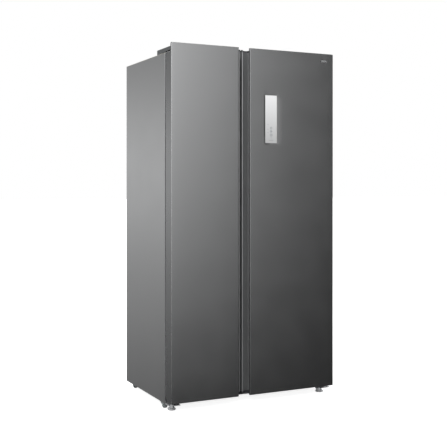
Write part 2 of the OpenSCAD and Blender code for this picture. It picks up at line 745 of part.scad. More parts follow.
// The caps at the door's two ends, with the blocks that the hinge pins turn in
module door_caps(side) color("#2c2e30") hang(side) {
    w = panel_w(side);
    r = rear_w(side);
    outline = concat(grip_line(side), [[r, door_t], [0, door_t], [0, rim_v], [skin_t, rim_v],
        [skin_t, skin_t], [w - skin_t, skin_t]]);
    difference() {
        union() {
            for (z = [door_z0 + 0.5, door_z1 - cap_t])
                translate([0, 0, z]) linear_extrude(cap_t - 0.5) polygon(outline);
            hinge_blocks();
        }
        notch();
        windows(side);
        along_x(-over, r + over) polygon([[fold_d + 2, door_z1 + over], [fold_d + 2, door_z1 - 1],
            [door_t + over, door_z1 - cap_t + 3], [door_t + over, door_z1 + over]]);
        translate([pin_side, pin_front, door_z1 - notch_h - block_h - over])
            cylinder(h = block_h + 2 * over, r = pin_r + run_fit);
        translate([pin_side, pin_front, door_z0]) cylinder(h = cap_t + 18 + over, r = pin_r + run_fit);
    }
}

module door_grip(side) color("#a7abaf") hang(side) {
    r = rear_w(side);
    translate([0, 0, foam_z0]) linear_extrude(foam_z1 - foam_z0)
        polygon(concat(grip_line(side), [[r, rim_v], [r - trim_t, rim_v]], grip_back(side)));
}

// A door's bin number i, from the lowest, held between the two rims
bins = 4;
module door_bin(side, i) color("#dfe9ee", 0.7) hang(side) {
    d = i == 0 ? low_bin_d : bin_d;
    low = dyke_z0 + dyke_w + 6;
    z = low + i * (dyke_z1 - dyke_w - low) / bins;
    u1 = min(dyke_u1(side) - dyke_w, swing_u(side, door_t + d));
    tub([dyke_u0(side) + dyke_w, door_t, z], [u1, door_t + d, z + bin_h], tub_t);
}

module display_panel() color("#e9ebec") hang(1) {
    w = window(1)[0];
    block([w[0] + gap, 0, w[2] + gap], [w[1] - gap, 4, w[3] - gap]);
    block([w[0] + 3, 4, w[2] + 3], [w[1] - 3, w[4] - over, w[3] - 3]);
}

module name_plate() color("#c9ccce") hang(1) {
    w = window(1)[1];
    block([w[0] + 0.2, 0, w[2] + 0.2], [w[1] - 0.2, w[4], w[3] - 0.2]);
}

// ---------- what is drawn ----------

cabinet_shell();
back_panel();
cabinet_foam();
freezer_liner();
fridge_liner();
mullion_plate();
bottom_plate();
compressor_base();
compressor();
condenser();
condenser_fan_frame();
condenser_fan();
drip_tray();
machine_cover();
mains_inlet();
evaporator();
evaporator_cover();
evaporator_fan();
fridge_air_duct();
lamps();
glass_shelves();
shelf_trims();
freezer_drawer_upper();
freezer_drawer_lower();
crisper_upper();
crisper_lower();
hinge_plates();
hinge_covers();
hinge_screws();
levelling_foot(-1);  // levelling_foot_left
levelling_foot(1);  // levelling_foot_right
roller_brackets();
front_roller(-1);  // front_roller_left
front_roller(1);  // front_roller_right
rear_roller(-1);  // rear_roller_left
rear_roller(1);  // rear_roller_right
door_skin(-1);  // freezer_door_skin
door_foam(-1);  // freezer_door_foam
door_rim_core(-1);  // freezer_door_rim_core
door_liner(-1);  // freezer_door_liner
door_gasket(-1);  // freezer_door_gasket
door_caps(-1);  // freezer_door_caps
door_grip(-1);  // freezer_door_grip
door_skin(1);  // fridge_door_skin
door_foam(1);  // fridge_door_foam
door_rim_core(1);  // fridge_door_rim_core
door_liner(1);  // fridge_door_liner
door_gasket(1);  // fridge_door_gasket
door_caps(1);  // fridge_door_caps
door_grip(1);  // fridge_door_grip
door_bin(-1, 0);  // freezer_bin_1
door_bin(-1, 1);  // freezer_bin_2
door_bin(-1, 2);  // freezer_bin_3
door_bin(-1, 3);  // freezer_bin_4
door_bin(1, 0);  // fridge_bin_1
door_bin(1, 1);  // fridge_bin_2
door_bin(1, 2);  // fridge_bin_3
door_bin(1, 3);  // fridge_bin_4
display_panel();
name_plate();
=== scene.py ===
# %% [markdown]
# # A side by side refrigerator
#
# The real thing is a tall steel cabinet with two doors of unequal width: a narrow freezer on the
# left and a wide fridge on the right. Its front is almost plain, so the look is made by a few
# long edges, the soft finish of the steel and the dark channel that the fingers reach into.
#
# The measured model comes first and never moves. Every surface below is worked out from it, in
# metres, with Z up and the doors facing -Y.

import bmesh
import bpy
import numpy as np
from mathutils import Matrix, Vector


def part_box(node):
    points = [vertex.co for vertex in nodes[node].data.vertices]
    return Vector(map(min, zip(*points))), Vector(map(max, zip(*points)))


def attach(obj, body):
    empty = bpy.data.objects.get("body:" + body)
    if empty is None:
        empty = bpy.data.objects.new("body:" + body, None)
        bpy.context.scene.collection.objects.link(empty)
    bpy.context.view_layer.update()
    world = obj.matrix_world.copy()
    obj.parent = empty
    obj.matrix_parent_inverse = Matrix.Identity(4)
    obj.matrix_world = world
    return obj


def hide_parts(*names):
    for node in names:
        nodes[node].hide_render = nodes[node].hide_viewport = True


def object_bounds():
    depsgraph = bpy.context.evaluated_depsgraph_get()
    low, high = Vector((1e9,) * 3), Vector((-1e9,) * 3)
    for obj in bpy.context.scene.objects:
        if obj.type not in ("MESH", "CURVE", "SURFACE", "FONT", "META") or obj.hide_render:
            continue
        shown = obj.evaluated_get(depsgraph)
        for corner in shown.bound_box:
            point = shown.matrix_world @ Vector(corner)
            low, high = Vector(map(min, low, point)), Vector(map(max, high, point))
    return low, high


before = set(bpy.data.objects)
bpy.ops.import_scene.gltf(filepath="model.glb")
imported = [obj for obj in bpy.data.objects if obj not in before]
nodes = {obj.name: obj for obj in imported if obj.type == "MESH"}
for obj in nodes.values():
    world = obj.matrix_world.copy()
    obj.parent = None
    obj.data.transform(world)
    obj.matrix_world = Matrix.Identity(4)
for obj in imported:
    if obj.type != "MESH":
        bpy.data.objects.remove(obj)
cad_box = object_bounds()
MM = 0.001

# %% [markdown]
# ## The camera
#
# The camera stands well to the left, a little over a metre up, and is held level so that upright
# edges stay parallel. The subject is then slid up in the frame with the lens shift, as a view camera
# does, instead of tilting the camera. A tilt would be simpler, but it makes the sides lean in.

# %% Camera
LENS = 68.99
SENSOR = 36
EYE = (-2.016, cad_box[0][1] - 3.754, cad_box[0][2] + 1.085)
HEADING = np.radians(26.07)
SHIFT_UP = -0.085

camera_data = bpy.data.cameras.new("camera")
camera_data.lens = LENS
camera_data.sensor_width = SENSOR
camera_data.shift_y = SHIFT_UP
camera = bpy.data.objects.new("camera", camera_data)
camera.location = EYE
camera.rotation_euler = (np.radians(90), 0, -HEADING)
bpy.context.scene.collection.objects.link(camera)
bpy.context.scene.camera = camera
print("camera at", [round(c, 3) for c in EYE])

# %% [markdown]
# ## Surfaces from arrays
#
# Almost every part of a refrigerator is sheet that was folded, plastic that was drawn into a mould
# or a profile cut to length. All of those are grids of points: one direction runs along the
# section, the other along the path. Modelling them by hand with extrude and bevel would also work,
# but a formula keeps each one tied to the measured model. The helper below turns any set of such
# grids into one mesh, welds their seams and turns the faces outwards.

# %% Grids into meshes
def grid_faces(first, rows, columns, wrap_rows, wrap_columns):
    """Each quad joins four neighbours; a wrapped direction joins its last line to its first."""
    index = first + np.arange(rows * columns).reshape(rows, columns)
    if wrap_rows:
        index = np.vstack([index, index[:1]])
    if wrap_columns:
        index = np.hstack([index, index[:, :1]])
    corners = [index[:-1, :-1], index[1:, :-1], index[1:, 1:], index[:-1, 1:]]
    return np.stack(corners, axis=-1).reshape(-1, 4)


def mesh_from(name, grids, caps=()):
    """One mesh from grids, each (points, wrap_rows, wrap_columns, squares to leave out), and flat caps."""
    points, faces, first = [], [], 0
    for grid, wrap_rows, wrap_columns, *left_out in grids:
        rows, columns = grid.shape[:2]
        points.append(grid.reshape(-1, 3))
        squares = grid_faces(first, rows, columns, wrap_rows, wrap_columns)
        if left_out:
            squares = squares[~left_out[0].ravel()]
        faces += squares.tolist()
        first += rows * columns
    for loop in caps:
        points.append(np.asarray(loop))
        faces.append(list(range(first, first + len(loop))))
        first += len(loop)
    mesh = bpy.data.meshes.new(name)
    mesh.from_pydata(np.vstack(points), [], faces)
    return mesh


WELD = 0.02 * MM


def weld(mesh, distance=WELD):
    """Merges doubled points, drops faces that shrank to nothing and turns the rest outwards."""
    work = bmesh.new()
    work.from_mesh(mesh)
    bmesh.ops.remove_doubles(work, verts=work.verts, dist=distance)
    bmesh.ops.dissolve_degenerate(work, edges=work.edges, dist=distance / 2)
    bmesh.ops.recalc_face_normals(work, faces=work.faces)
    work.to_mesh(mesh)
    work.free()


def face_towards(mesh, point):
    """Turns an open sheet over unless the sum of area times normal times direction faces a point."""
    count = len(mesh.polygons)
    normal, middle, area = np.empty(count * 3), np.empty(count * 3), np.empty(count)
    mesh.polygons.foreach_get("normal", normal)
    mesh.polygons.foreach_get("center", middle)
    mesh.polygons.foreach_get("area", area)
    towards = np.asarray(point, float) - middle.reshape(-1, 3)
    if (area * (normal.reshape(-1, 3) * towards).sum(axis=1)).sum() < 0:
        mesh.flip_normals()


pieces = []


def piece(name, mesh, body, finish, slot, replaces=(), crease=35, facing=None):
    """Shows a mesh with its finish, shaded smooth up to the crease angle, riding on its body."""
    weld(mesh)
    if facing is not None:
        face_towards(mesh, facing)
    mesh.shade_smooth()
    mesh.set_sharp_from_angle(angle=np.radians(crease))
    shown = bpy.data.objects.new(name, mesh)
    bpy.context.scene.collection.objects.link(shown)
    mesh.materials.append(finish)
    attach(shown, body)
    if replaces:
        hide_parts(*replaces)
    pieces.append(shown)
    return shown


def show(name, grids, body, finish, slot, *replaces, caps=(), **how):
    """Makes one mesh of some grids and shows it as a piece of the same name."""
    return piece(name, mesh_from(name, grids, caps), body, finish, slot, replaces, **how)


def thicken(shown, thickness, offset=-1):
    """Gives a single sheet its wall: offset -1 grows it behind the faces, 1 in front of them."""
    solidify = shown.modifiers.new("wall", "SOLIDIFY")
    solidify.thickness = thickness
    solidify.offset = offset
    return shown


print("mesh helpers ready")

# %% [markdown]
# ## Rounded loops
#
# A drawer, a bin, a liner, a seal and a moulded cover are all stacks of rounded rectangles. When
# every loop has the same number of points, a shape is only a list of levels, and each level says
# where its rectangle is, how round its corners are and how high it lies.

# %% Loops and stacks
CORNER_POINTS = 6


def rounded_loop(a0, a1, b0, b1, radius, count=CORNER_POINTS):
    """A rounded rectangle: a quarter circle round each corner's centre, and straight lines between."""
    radius = max(min(radius, (a1 - a0) / 2, (b1 - b0) / 2), 0)
    turn = np.linspace(0, np.pi / 2, count)
    a_low, a_high, b_low, b_high = a0 + radius, a1 - radius, b0 + radius, b1 - radius
    arcs = []
    for k, (a, b) in enumerate(((a_high, b_high), (a_low, b_high), (a_low, b_low), (a_high, b_low))):
        angle = turn + k * np.pi / 2
        arcs.append(np.stack([a + radius * np.cos(angle), b + radius * np.sin(angle)], axis=-1))
    return np.vstack(arcs)


AXIS_ORDER = {"x": (2, 0, 1), "y": (0, 2, 1), "z": (0, 1, 2)}


def place(loop, height, axis):
    """Lays a flat loop at a height along an axis: its own pair of axes are the other two, in order."""
    flat = np.column_stack([loop, np.full(len(loop), height)])
    return flat[:, AXIS_ORDER[axis]]


def stack(levels, axis, count=CORNER_POINTS):
    """Levels are (a0, a1, b0, b1, radius, height); the surface joins their loops one after another."""
    return np.stack([place(rounded_loop(*level[:5], count), level[5], axis) for level in levels])


def middle_level(level, height=None):
    """A level shrunk to the middle of its rectangle, which closes a stack."""
    a, b = (level[0] + level[1]) / 2, (level[2] + level[3]) / 2
    return (a, a, b, b, 0, level[5] if height is None else height)


def inset(level, by, height, radius=None):
    """The same rectangle drawn in by a distance, at another height."""
    a0, a1, b0, b1, r, _ = level
    return (a0 + by, a1 - by, b0 + by, b1 - by, max(r - by, 0) if radius is None else radius, height)


def soft_box_levels(lo, hi, radius, axis="z", edge=None, steps=4):
    """A block with rounded edges: the inset and the height follow a quarter circle at both ends."""
    low, high = np.array(lo, float), np.array(hi, float)
    order = AXIS_ORDER[axis]
    a, b, c = (order.index(0), order.index(1), order.index(2))
    edge = radius if edge is None else edge
    base = (low[a], high[a], low[b], high[b], radius, low[c])
    turn = np.linspace(0, np.pi / 2, steps)
    lower = [inset(base, edge * (1 - np.sin(t)), low[c] + edge * (1 - np.cos(t))) for t in turn]
    upper = [inset(base, edge * (1 - np.cos(t)), high[c] - edge * (1 - np.sin(t))) for t in turn]
    levels = lower + upper
    return [middle_level(levels[0])] + levels + [middle_level(levels[-1])]


def soft_box(lo, hi, radius, axis="z", edge=None, count=4):
    """One block with rounded edges, as a grid ready for mesh_from."""
    return (stack(soft_box_levels(lo, hi, radius, axis, edge), axis, count), False, True)


def lathe(profile, centre, axis, count=48, ripple=None):
    """A profile of (radius, height) turned about an axis: the radius times cosine and sine."""
    profile = np.asarray(profile, float)
    angle = np.linspace(0, 2 * np.pi, count, endpoint=False)
    radius = np.repeat(profile[:, :1], count, axis=1)
    if ripple is not None:
        radius = radius * (1 + ripple(angle[None, :], profile[:, 1:2]))
    height = np.repeat(profile[:, 1:2], count, axis=1)
    flat = np.stack([radius * np.cos(angle), radius * np.sin(angle), height], axis=-1)
    return (flat[..., AXIS_ORDER[axis]] + np.array(centre), False, True)


def tube(path, radius, count=10):
    """A round tube: circles square to the path, whose sideways direction is carried without twist."""
    path = np.asarray(path, float)
    along = np.gradient(path, axis=0)
    along /= np.linalg.norm(along, axis=1)[:, None]
    side = np.zeros_like(path)
    start = np.cross(along[0], (0.13, 0.37, 0.92))
    side[0] = start / np.linalg.norm(start)
    for k in range(1, len(path)):
        carried = side[k - 1] - along[k] * np.dot(side[k - 1], along[k])
        side[k] = carried / np.linalg.norm(carried)
    other = np.cross(along, side)
    angle = np.linspace(0, 2 * np.pi, count, endpoint=False)[None, :, None]
    outward = np.cos(angle) * side[:, None, :] + np.sin(angle) * other[:, None, :]
    rings = path[:, None, :] + radius * outward
    ends = [np.repeat(path[k][None, None, :], count, axis=1) for k in (0, -1)]
    return (np.concatenate([ends[0], rings, ends[1]]), False, True)


def chaikin(points, times):
    """Rounds a broken line: each pass cuts every corner at a quarter and three quarters of its sides."""
    line = np.asarray(points, float)
    for _ in range(times):
        near = 0.75 * line[:-1] + 0.25 * line[1:]
        far = 0.25 * line[:-1] + 0.75 * line[1:]
        cut = np.stack([near, far], axis=1).reshape(-1, line.shape[1])
        line = np.vstack([line[:1], cut, line[-1:]])
    return line


print("loop helpers ready")

# %% [markdown]
# ## Softened copies
#
# Folded brackets, covers and caps already have the right shape in the measured model, but every
# edge there is a knife edge, and a real edge catches a thin line of light. A copy of the node is
# welded, its flat faces are joined up again, and a small bevel is turned on. Rounding by hand would
# give the same result for much more work.

# %% A softened copy of a node
def softened(node, body, finish, slot, width, segments=3, crease=35, reshape=None):
    """Copies a node's mesh, welds it, joins its flat faces and rounds its edges by a width in metres.
    A reshape function may move the copy's points first."""
    mesh = nodes[node].data.copy()
    mesh.materials.clear()
    if reshape:
        places = np.empty(len(mesh.vertices) * 3, np.float32)
        mesh.vertices.foreach_get("co", places)
        mesh.vertices.foreach_set("co", reshape(places.reshape(-1, 3)).ravel())
    work = bmesh.new()
    work.from_mesh(mesh)
    bmesh.ops.remove_doubles(work, verts=work.verts, dist=WELD)
    bmesh.ops.dissolve_limit(work, angle_limit=np.radians(1), verts=work.verts, edges=work.edges)
    work.to_mesh(mesh)
    work.free()
    shown = piece(node + "_soft", mesh, body, finish, slot, (node,), crease)
    bevel = shown.modifiers.new("edges", "BEVEL")
    bevel.width = width
    bevel.segments = segments
    bevel.limit_method = "ANGLE"
    bevel.angle_limit = np.radians(30)
    bevel.harden_normals = True
    return shown


print("softener ready")

# %% [markdown]
# ## Sizes read from the model
#
# Each door is described in its own frame: u runs from its hinge side towards the grip, v runs from
# its front face backwards, and z is height. The widths and depths are read from the boxes of the
# measured parts, and only the few that a box can't tell are named here.

# %% Sizes
def corners(node):
    """The lowest and highest corner of a node, as arrays."""
    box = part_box(node)
    return np.array(box[0], float), np.array(box[1], float)


SIDES = {"freezer": -1, "fridge": 1}
SHEET = 1 * MM
FOLD = 12 * MM
GRIP_IN = 18 * MM
GRIP_DEEP = 52 * MM
LIP = 36 * MM
GRIP_WALL = 2 * MM
CAP = 66 * MM
DOOR_DEEP = 67 * MM

shell_lo, shell_hi = corners("cabinet_shell")
half_w = shell_hi[0]
skins = {side: corners(side + "_door_skin") for side in SIDES}
front_y = skins["freezer"][0][1]
door_z0, door_z1 = skins["freezer"][0][2], skins["freezer"][1][2]
panel_w = {side: skins[side][1][0] - skins[side][0][0] for side in SIDES}
liners = {side: corners(side + "_door_liner") for side in SIDES}
rear_w = {side: liners[side][1][0] - liners[side][0][0] for side in SIDES}
print("door heights", round(door_z0, 3), round(door_z1, 3))
print("panel widths", {side: round(width, 3) for side, width in panel_w.items()})


def at_door(side, points):
    """Turns (u, v, z) in a door's own frame into the model's frame."""
    points = np.asarray(points, float)
    x = SIDES[side] * (half_w - points[..., 0])
    return np.stack([x, front_y + points[..., 1], points[..., 2]], axis=-1)


# %% [markdown]
# ## Paint, plastic and metal
#
# A finish is a colour, a roughness and a texture that is too small to model. Each one below is a
# Principled shader whose colour and roughness wander a little with a soft noise and whose bump
# carries the grain: orange peel in paint, spangle on zinc, stipple in moulded plastic. Object
# coordinates keep every grain at its real size on every piece. Image textures would give the same
# look, but they have to be drawn, stored and unwrapped.

# %% The finish maker
def finish(name, colour, metallic=0.0, rough=0.4, grain=0.0, grain_size=0.002, stretch=(1, 1, 1),
        wander=0.06, rough_wander=0.06, wander_size=0.15, fade=None, **sockets):
    """A Principled material: noise of wander_size shifts colour and roughness, and noise of grain_size
    bumps it. A fade of (low, high, dim) multiplies the colour by dim at height low, rising to 1 at high."""
    made = bpy.data.materials.new(name)
    made.use_nodes = True
    tree = made.node_tree
    shader = tree.nodes["Principled BSDF"]
    shader.inputs["Metallic"].default_value = metallic
    place_in = tree.nodes.new("ShaderNodeTexCoord")
    mapping = tree.nodes.new("ShaderNodeMapping")
    mapping.inputs["Scale"].default_value = stretch
    tree.links.new(place_in.outputs["Object"], mapping.inputs["Vector"])

    def noise(size, detail):
        """A soft noise whose spots are about a size across, in metres."""
        made_noise = tree.nodes.new("ShaderNodeTexNoise")
        made_noise.inputs["Scale"].default_value = 1 / size
        made_noise.inputs["Detail"].default_value = detail
        tree.links.new(mapping.outputs["Vector"], made_noise.inputs["Vector"])
        return made_noise.outputs["Fac"]

    def ramp(source, low, high):
        """Stretches the middle of a noise to run from low to high."""
        spread = tree.nodes.new("ShaderNodeMapRange")
        spread.inputs["From Min"].default_value = 0.3
        spread.inputs["From Max"].default_value = 0.7
        spread.inputs["To Min"].default_value = low
        spread.inputs["To Max"].default_value = high
        tree.links.new(source, spread.inputs["Value"])
        return spread.outputs["Result"]

    soft = noise(wander_size, 3)
    mix = tree.nodes.new("ShaderNodeMix")
    mix.data_type = "RGBA"
    mix.inputs["A"].default_value = (*[c * (1 - wander) for c in colour[:3]], 1)
    mix.inputs["B"].default_value = (*[min(c * (1 + wander), 1) for c in colour[:3]], 1)
    tree.links.new(soft, mix.inputs["Factor"])
    shade = mix.outputs["Result"]
    if fade:
        low, high, dim = fade
        height = tree.nodes.new("ShaderNodeSeparateXYZ")
        tree.links.new(place_in.outputs["Object"], height.inputs["Vector"])
        climb = tree.nodes.new("ShaderNodeMapRange")
        climb.inputs["From Min"].default_value = low
        climb.inputs["From Max"].default_value = high
        climb.inputs["To Min"].default_value = dim
        tree.links.new(height.outputs["Z"], climb.inputs["Value"])
        tint = tree.nodes.new("ShaderNodeVectorMath")
        tint.operation = "SCALE"
        tree.links.new(shade, tint.inputs[0])
        tree.links.new(climb.outputs["Result"], tint.inputs["Scale"])
        shade = tint.outputs["Vector"]
    tree.links.new(shade, shader.inputs["Base Color"])
    roughness = ramp(soft, rough - rough_wander / 2, rough + rough_wander / 2)
    tree.links.new(roughness, shader.inputs["Roughness"])
    if grain:
        bump = tree.nodes.new("ShaderNodeBump")
        bump.inputs["Strength"].default_value = grain
        bump.inputs["Distance"].default_value = grain_size / 10
        tree.links.new(noise(grain_size, 2), bump.inputs["Height"])
        tree.links.new(bump.outputs["Normal"], shader.inputs["Normal"])
    for socket, value in sockets.items():
        shader.inputs[socket.replace("_", " ").title().replace("Ior", "IOR")].default_value = value
    return made


print("finish maker ready")

# %% [markdown]
# ## The finishes
#
# The doors are steel with a grey metallic coat: flakes of metal in a clear satin paint. That is a
# metallic shader of middling roughness, with a fine orange-peel bump. The cabinet's sides wear the
# same colour in a plainer, duller coat.

# %% Finishes
door_paint = finish("door_paint", (0.52, 0.525, 0.53), 1.0, 0.24, 0.05, 0.0012,
    wander=0.02, rough_wander=0.03)
# The door paint at a little over half its brightness: painted shade for the doors' side walls.
door_side_shade = finish("door_side_shade", (0.29, 0.295, 0.30), 1.0, 0.28, 0.05, 0.0012,
    wander=0.02, rough_wander=0.03)
side_paint = finish("side_paint", (0.48, 0.485, 0.49), 0.95, 0.30, 0.12, 0.0011,
    wander=0.025, rough_wander=0.04)
cover_moulding = finish("cover_moulding", (0.10, 0.105, 0.11), 0, 0.42, 0.35, 0.0009, wander=0.10)
dark_moulding = finish("dark_moulding", (0.035, 0.037, 0.04), 0, 0.48, 0.35, 0.0009, wander=0.12)
grip_metal = finish("grip_metal", (0.40, 0.405, 0.41), 0.85, 0.42, 0.10, 0.0010, wander=0.03)
white_moulding = finish("white_moulding", (0.86, 0.87, 0.88), 0, 0.30, 0.12, 0.0016, wander=0.015)
grey_rubber = finish("grey_rubber", (0.24, 0.245, 0.25), 0, 0.62, 0.30, 0.0008, wander=0.10)
zinc = finish("zinc_sheet", (0.56, 0.57, 0.58), 0.85, 0.42, 0.25, 0.0060,
    wander=0.12, rough_wander=0.16, wander_size=0.012)
bright_steel = finish("bright_steel", (0.80, 0.81, 0.83), 0.45, 0.28, 0.12, 0.0005, stretch=(1, 1, 6),
    wander=0.05)
grey_enamel = finish("grey_enamel", (0.40, 0.44, 0.44), 0.0, 0.40, 0.15, 0.0010, wander=0.05)
black_enamel = finish("black_enamel", (0.018, 0.018, 0.020), 0.1, 0.28, 0.30, 0.0020, wander=0.15)
raw_aluminium = finish("raw_aluminium", (0.70, 0.71, 0.72), 1.0, 0.33, 0.15, 0.0007, wander=0.06)
silver_trim = finish("silver_trim", (0.62, 0.63, 0.64), 0.8, 0.28, 0.06, 0.0008, wander=0.03)
foam_fill = finish("foam_fill", (0.78, 0.69, 0.44), 0, 0.95, 0.60, 0.0022, wander=0.12, wander_size=0.03)
light_moulding = finish("light_moulding", (0.74, 0.75, 0.76), 0, 0.36, 0.15, 0.0014, wander=0.03)
roller_nylon = finish("roller_nylon", (0.33, 0.36, 0.36), 0, 0.50, 0.30, 0.0009, wander=0.10)
clear_moulding = finish("clear_moulding", (0.80, 0.90, 0.95), 0, 0.10, 0.05, 0.02,
    wander=0.02, rough_wander=0.04,
    alpha=0.34, specular_ior_level=0.6, ior=1.49)
shelf_glass = finish("shelf_glass", (0.62, 0.84, 0.78), 0, 0.05, 0.0, wander=0.02, rough_wander=0.03,
    alpha=0.38, ior=1.52)
lamp_lens = finish("lamp_lens", (0.95, 0.95, 0.92), 0, 0.35, 0.20, 0.0030,
    wander=0.01, emission_strength=0.5,
    emission_color=(1.0, 0.98, 0.94, 1))
display_lo, display_hi = corners("display_panel")
# The pane's white is dimmed to 0.56 at its lower edge, rising to full at its top: painted shade.
display_shaded_white = finish("display_shaded_white", (0.97, 0.975, 0.98), 0.05, 0.16, 0.0,
    wander=0.01, rough_wander=0.02,
    fade=(display_lo[2], display_hi[2], 0.56), coat_weight=0.6, coat_roughness=0.05)
icon_ink = finish("icon_ink", (0.25, 0.27, 0.29), 0, 0.40, 0.10, 0.0006, wander=0.03)
print(len(bpy.data.materials), "finishes")

# %% [markdown]
# ## The door panels
#
# One steel sheet wraps round a door: down the hinge side, over the front and in at the grip. Its
# bends are small arcs, and it is those arcs that catch the bright lines down the doors' edges. The
# profile is carried up the door, its upper outer corner is rounded by sliding the hinge edge
# inwards over the last few millimetres, and the sheet's two ends tuck in. The squares of the grid
# that fall on the display, the plate and the hinge notch are left out. A boolean would cut them
# too, but it leaves a tangle of faces that shades badly.

# %% Door panels
EDGE_R = 3 * MM
GRIP_EDGE_R = 1.5 * MM
SIDE_DEEP = DOOR_DEEP - 0.8 * MM
CORNER_R = 8 * MM
TUCK = 0.8 * MM
NOTCH_U = 37 * MM
NOTCH_V = 10.3 * MM
NOTCH_Z = door_z1 - 42 * MM


def arc(centre, radius, start, end, count=6):
    """Points on a circle about a centre, from one angle to another in degrees."""
    turn = np.radians(np.linspace(start, end, count))
    return np.stack([centre[0] + radius * np.cos(turn), centre[1] + radius * np.sin(turn)], axis=-1)


def with_stops(values, stops):
    """Adds exact stops to a rising list of values, for the edges of openings."""
    return np.unique(np.round(np.concatenate([values, stops]), 7))


def panel_openings(side):
    """The openings in a door's front, as (u0, u1, z0, z1)."""
    if side == "freezer":
        return []
    found = []
    for node in ("display_panel", "name_plate"):
        lo, hi = corners(node)
        found.append((half_w - hi[0], half_w - lo[0], lo[2], hi[2]))
    return found


def panel_profile(side):
    """The sheet's outer line in u and v: hinge side, bend, front, bend, and the fold at the grip."""
    width = panel_w[side]
    stops = [edge for hole in panel_openings(side) for edge in hole[:2]]
    across = with_stops(np.linspace(EDGE_R, width - GRIP_EDGE_R, 14), stops)
    along = with_stops(np.linspace(EDGE_R, SIDE_DEEP, 8), [NOTCH_V])[::-1]
    return np.vstack([
        np.stack([np.zeros(len(along)), along], axis=-1),
        arc((EDGE_R, EDGE_R), EDGE_R, 180, 270)[1:-1],
        np.stack([across, np.zeros(len(across))], axis=-1),
        arc((width - GRIP_EDGE_R, GRIP_EDGE_R), GRIP_EDGE_R, 270, 360)[1:],
        [[width, FOLD]],
    ])


def panel_points(side):
    """Rows of the profile up the door. Rows near the top slide off the outer corner's circle, and the
    last rows at both ends step inwards along the profile's normal on a quarter circle."""
    line = panel_profile(side)
    slope = np.gradient(line, axis=0)
    normal = np.stack([-slope[:, 1], slope[:, 0]], axis=-1)
    normal /= np.linalg.norm(normal, axis=1)[:, None]
    stops = [edge for hole in panel_openings(side) for edge in hole[2:]] + [NOTCH_Z]
    body = with_stops(np.linspace(door_z0 + TUCK, door_z1 - CORNER_R, 30), stops)
    turn = np.linspace(0, np.pi / 2, 7)[1:]
    top = door_z1 - CORNER_R + (CORNER_R - TUCK) * np.sin(turn)
    tuck = np.linspace(0, np.pi / 2, 4)[1:]
    lower, upper = door_z0 + TUCK - TUCK * np.sin(tuck), door_z1 - TUCK + TUCK * np.sin(tuck)
    heights = np.concatenate([lower[::-1], body, top, upper])
    off_corner = CORNER_R * (1 - np.cos(turn))
    slide = np.concatenate([np.zeros(len(tuck) + len(body)), off_corner, np.full(len(tuck), CORNER_R)])
    step_in = TUCK * (1 - np.cos(tuck))
    inward = np.concatenate([step_in[::-1], np.zeros(len(body) + len(top)), step_in])
    reach = 1 - line[:, 0] / panel_w[side]
    u = line[None, :, 0] + slide[:, None] * reach + normal[None, :, 0] * inward[:, None]
    v = line[None, :, 1] + normal[None, :, 1] * inward[:, None]
    return np.stack([u, v, np.repeat(heights[:, None], len(line), axis=1)], axis=-1)


def panel_holes(side, points):
    """Marks the grid squares whose middle lies in an opening of the front or in the hinge notch."""
    middle = (points[:-1, :-1] + points[1:, 1:]) / 2
    u, v, z = middle[..., 0], middle[..., 1], middle[..., 2]
    out = (v > NOTCH_V) & (z > NOTCH_Z) & (u < NOTCH_U)
    for u0, u1, z0, z1 in panel_openings(side):
        out |= (u > u0) & (u < u1) & (z > z0) & (z < z1) & (v < EDGE_R)
    return out


def shade_sides(mesh, finish, lean=0.9):
    """Gives a second finish, a darker copy used as painted shade, to the faces whose normal leans sideways
    by more than a share.
    """
    count = len(mesh.polygons)
    normal, which = np.empty(count * 3), np.zeros(count, np.int32)
    mesh.polygons.foreach_get("normal", normal)
    which[np.abs(normal.reshape(-1, 3)[:, 0]) > lean] = 1
    mesh.materials.append(finish)
    mesh.polygons.foreach_set("material_index", which)


for side in SIDES:
    points = panel_points(side)
    sheet = (at_door(side, points), False, False, panel_holes(side, points))
    panel = show(side + "_panel", [sheet], side + "_door", door_paint, "inox_panel", side + "_door_skin",
        facing=(0, front_y - 5, 1))
    # The side walls, whose normals lean sideways, take the darker copy of the door paint as painted shade.
    shade_sides(panel.data, door_side_shade)
    thicken(panel, SHEET)
print("door panels made")

# %% [markdown]
# ## The grips
#
# Between the doors, each one has a moulding that the fingers reach into: in behind the panel's
# edge, round a hollow and out to a thin lip. Its section is drawn with a few points and softened by
# cutting the corners again and again, which gives a smooth hollow from a handful of numbers.

# %% Door grips
LIP_R = 5 * MM


def grip_section(side):
    """The finger side as a softened line, then the foam side back again."""
    w, r = panel_w[side], rear_w[side]
    g = w - GRIP_IN
    front = np.array([
        (w - SHEET, FOLD), (g + 4 * MM, FOLD), (g, FOLD + 4 * MM), (g, GRIP_DEEP - 4 * MM),
        (g + 1.5 * MM, GRIP_DEEP - 0.6 * MM), (g + 6 * MM, GRIP_DEEP), (r - 12 * MM, GRIP_DEEP - 4 * MM),
        (r - 8.5 * MM, GRIP_DEEP - 6 * MM), (r - 8 * MM, LIP + 4 * MM), (r - 7 * MM, LIP + 0.6 * MM),
        (r - LIP_R, LIP)])
    lip = arc((r - LIP_R, LIP + LIP_R), LIP_R, 270, 360)[1:]
    back = np.array([
        (r, DOOR_DEEP - 7 * MM), (r - GRIP_WALL, DOOR_DEEP - 7 * MM), (r - GRIP_WALL, GRIP_DEEP + GRIP_WALL),
        (g + 9 * MM, GRIP_DEEP + GRIP_WALL), (g, GRIP_DEEP), (g - GRIP_WALL, GRIP_DEEP - 8 * MM),
        (g - GRIP_WALL, FOLD + 3 * MM), (g + 3 * MM, FOLD - GRIP_WALL), (w - SHEET, FOLD - GRIP_WALL)])
    return np.vstack([chaikin(front, 3), lip, back])


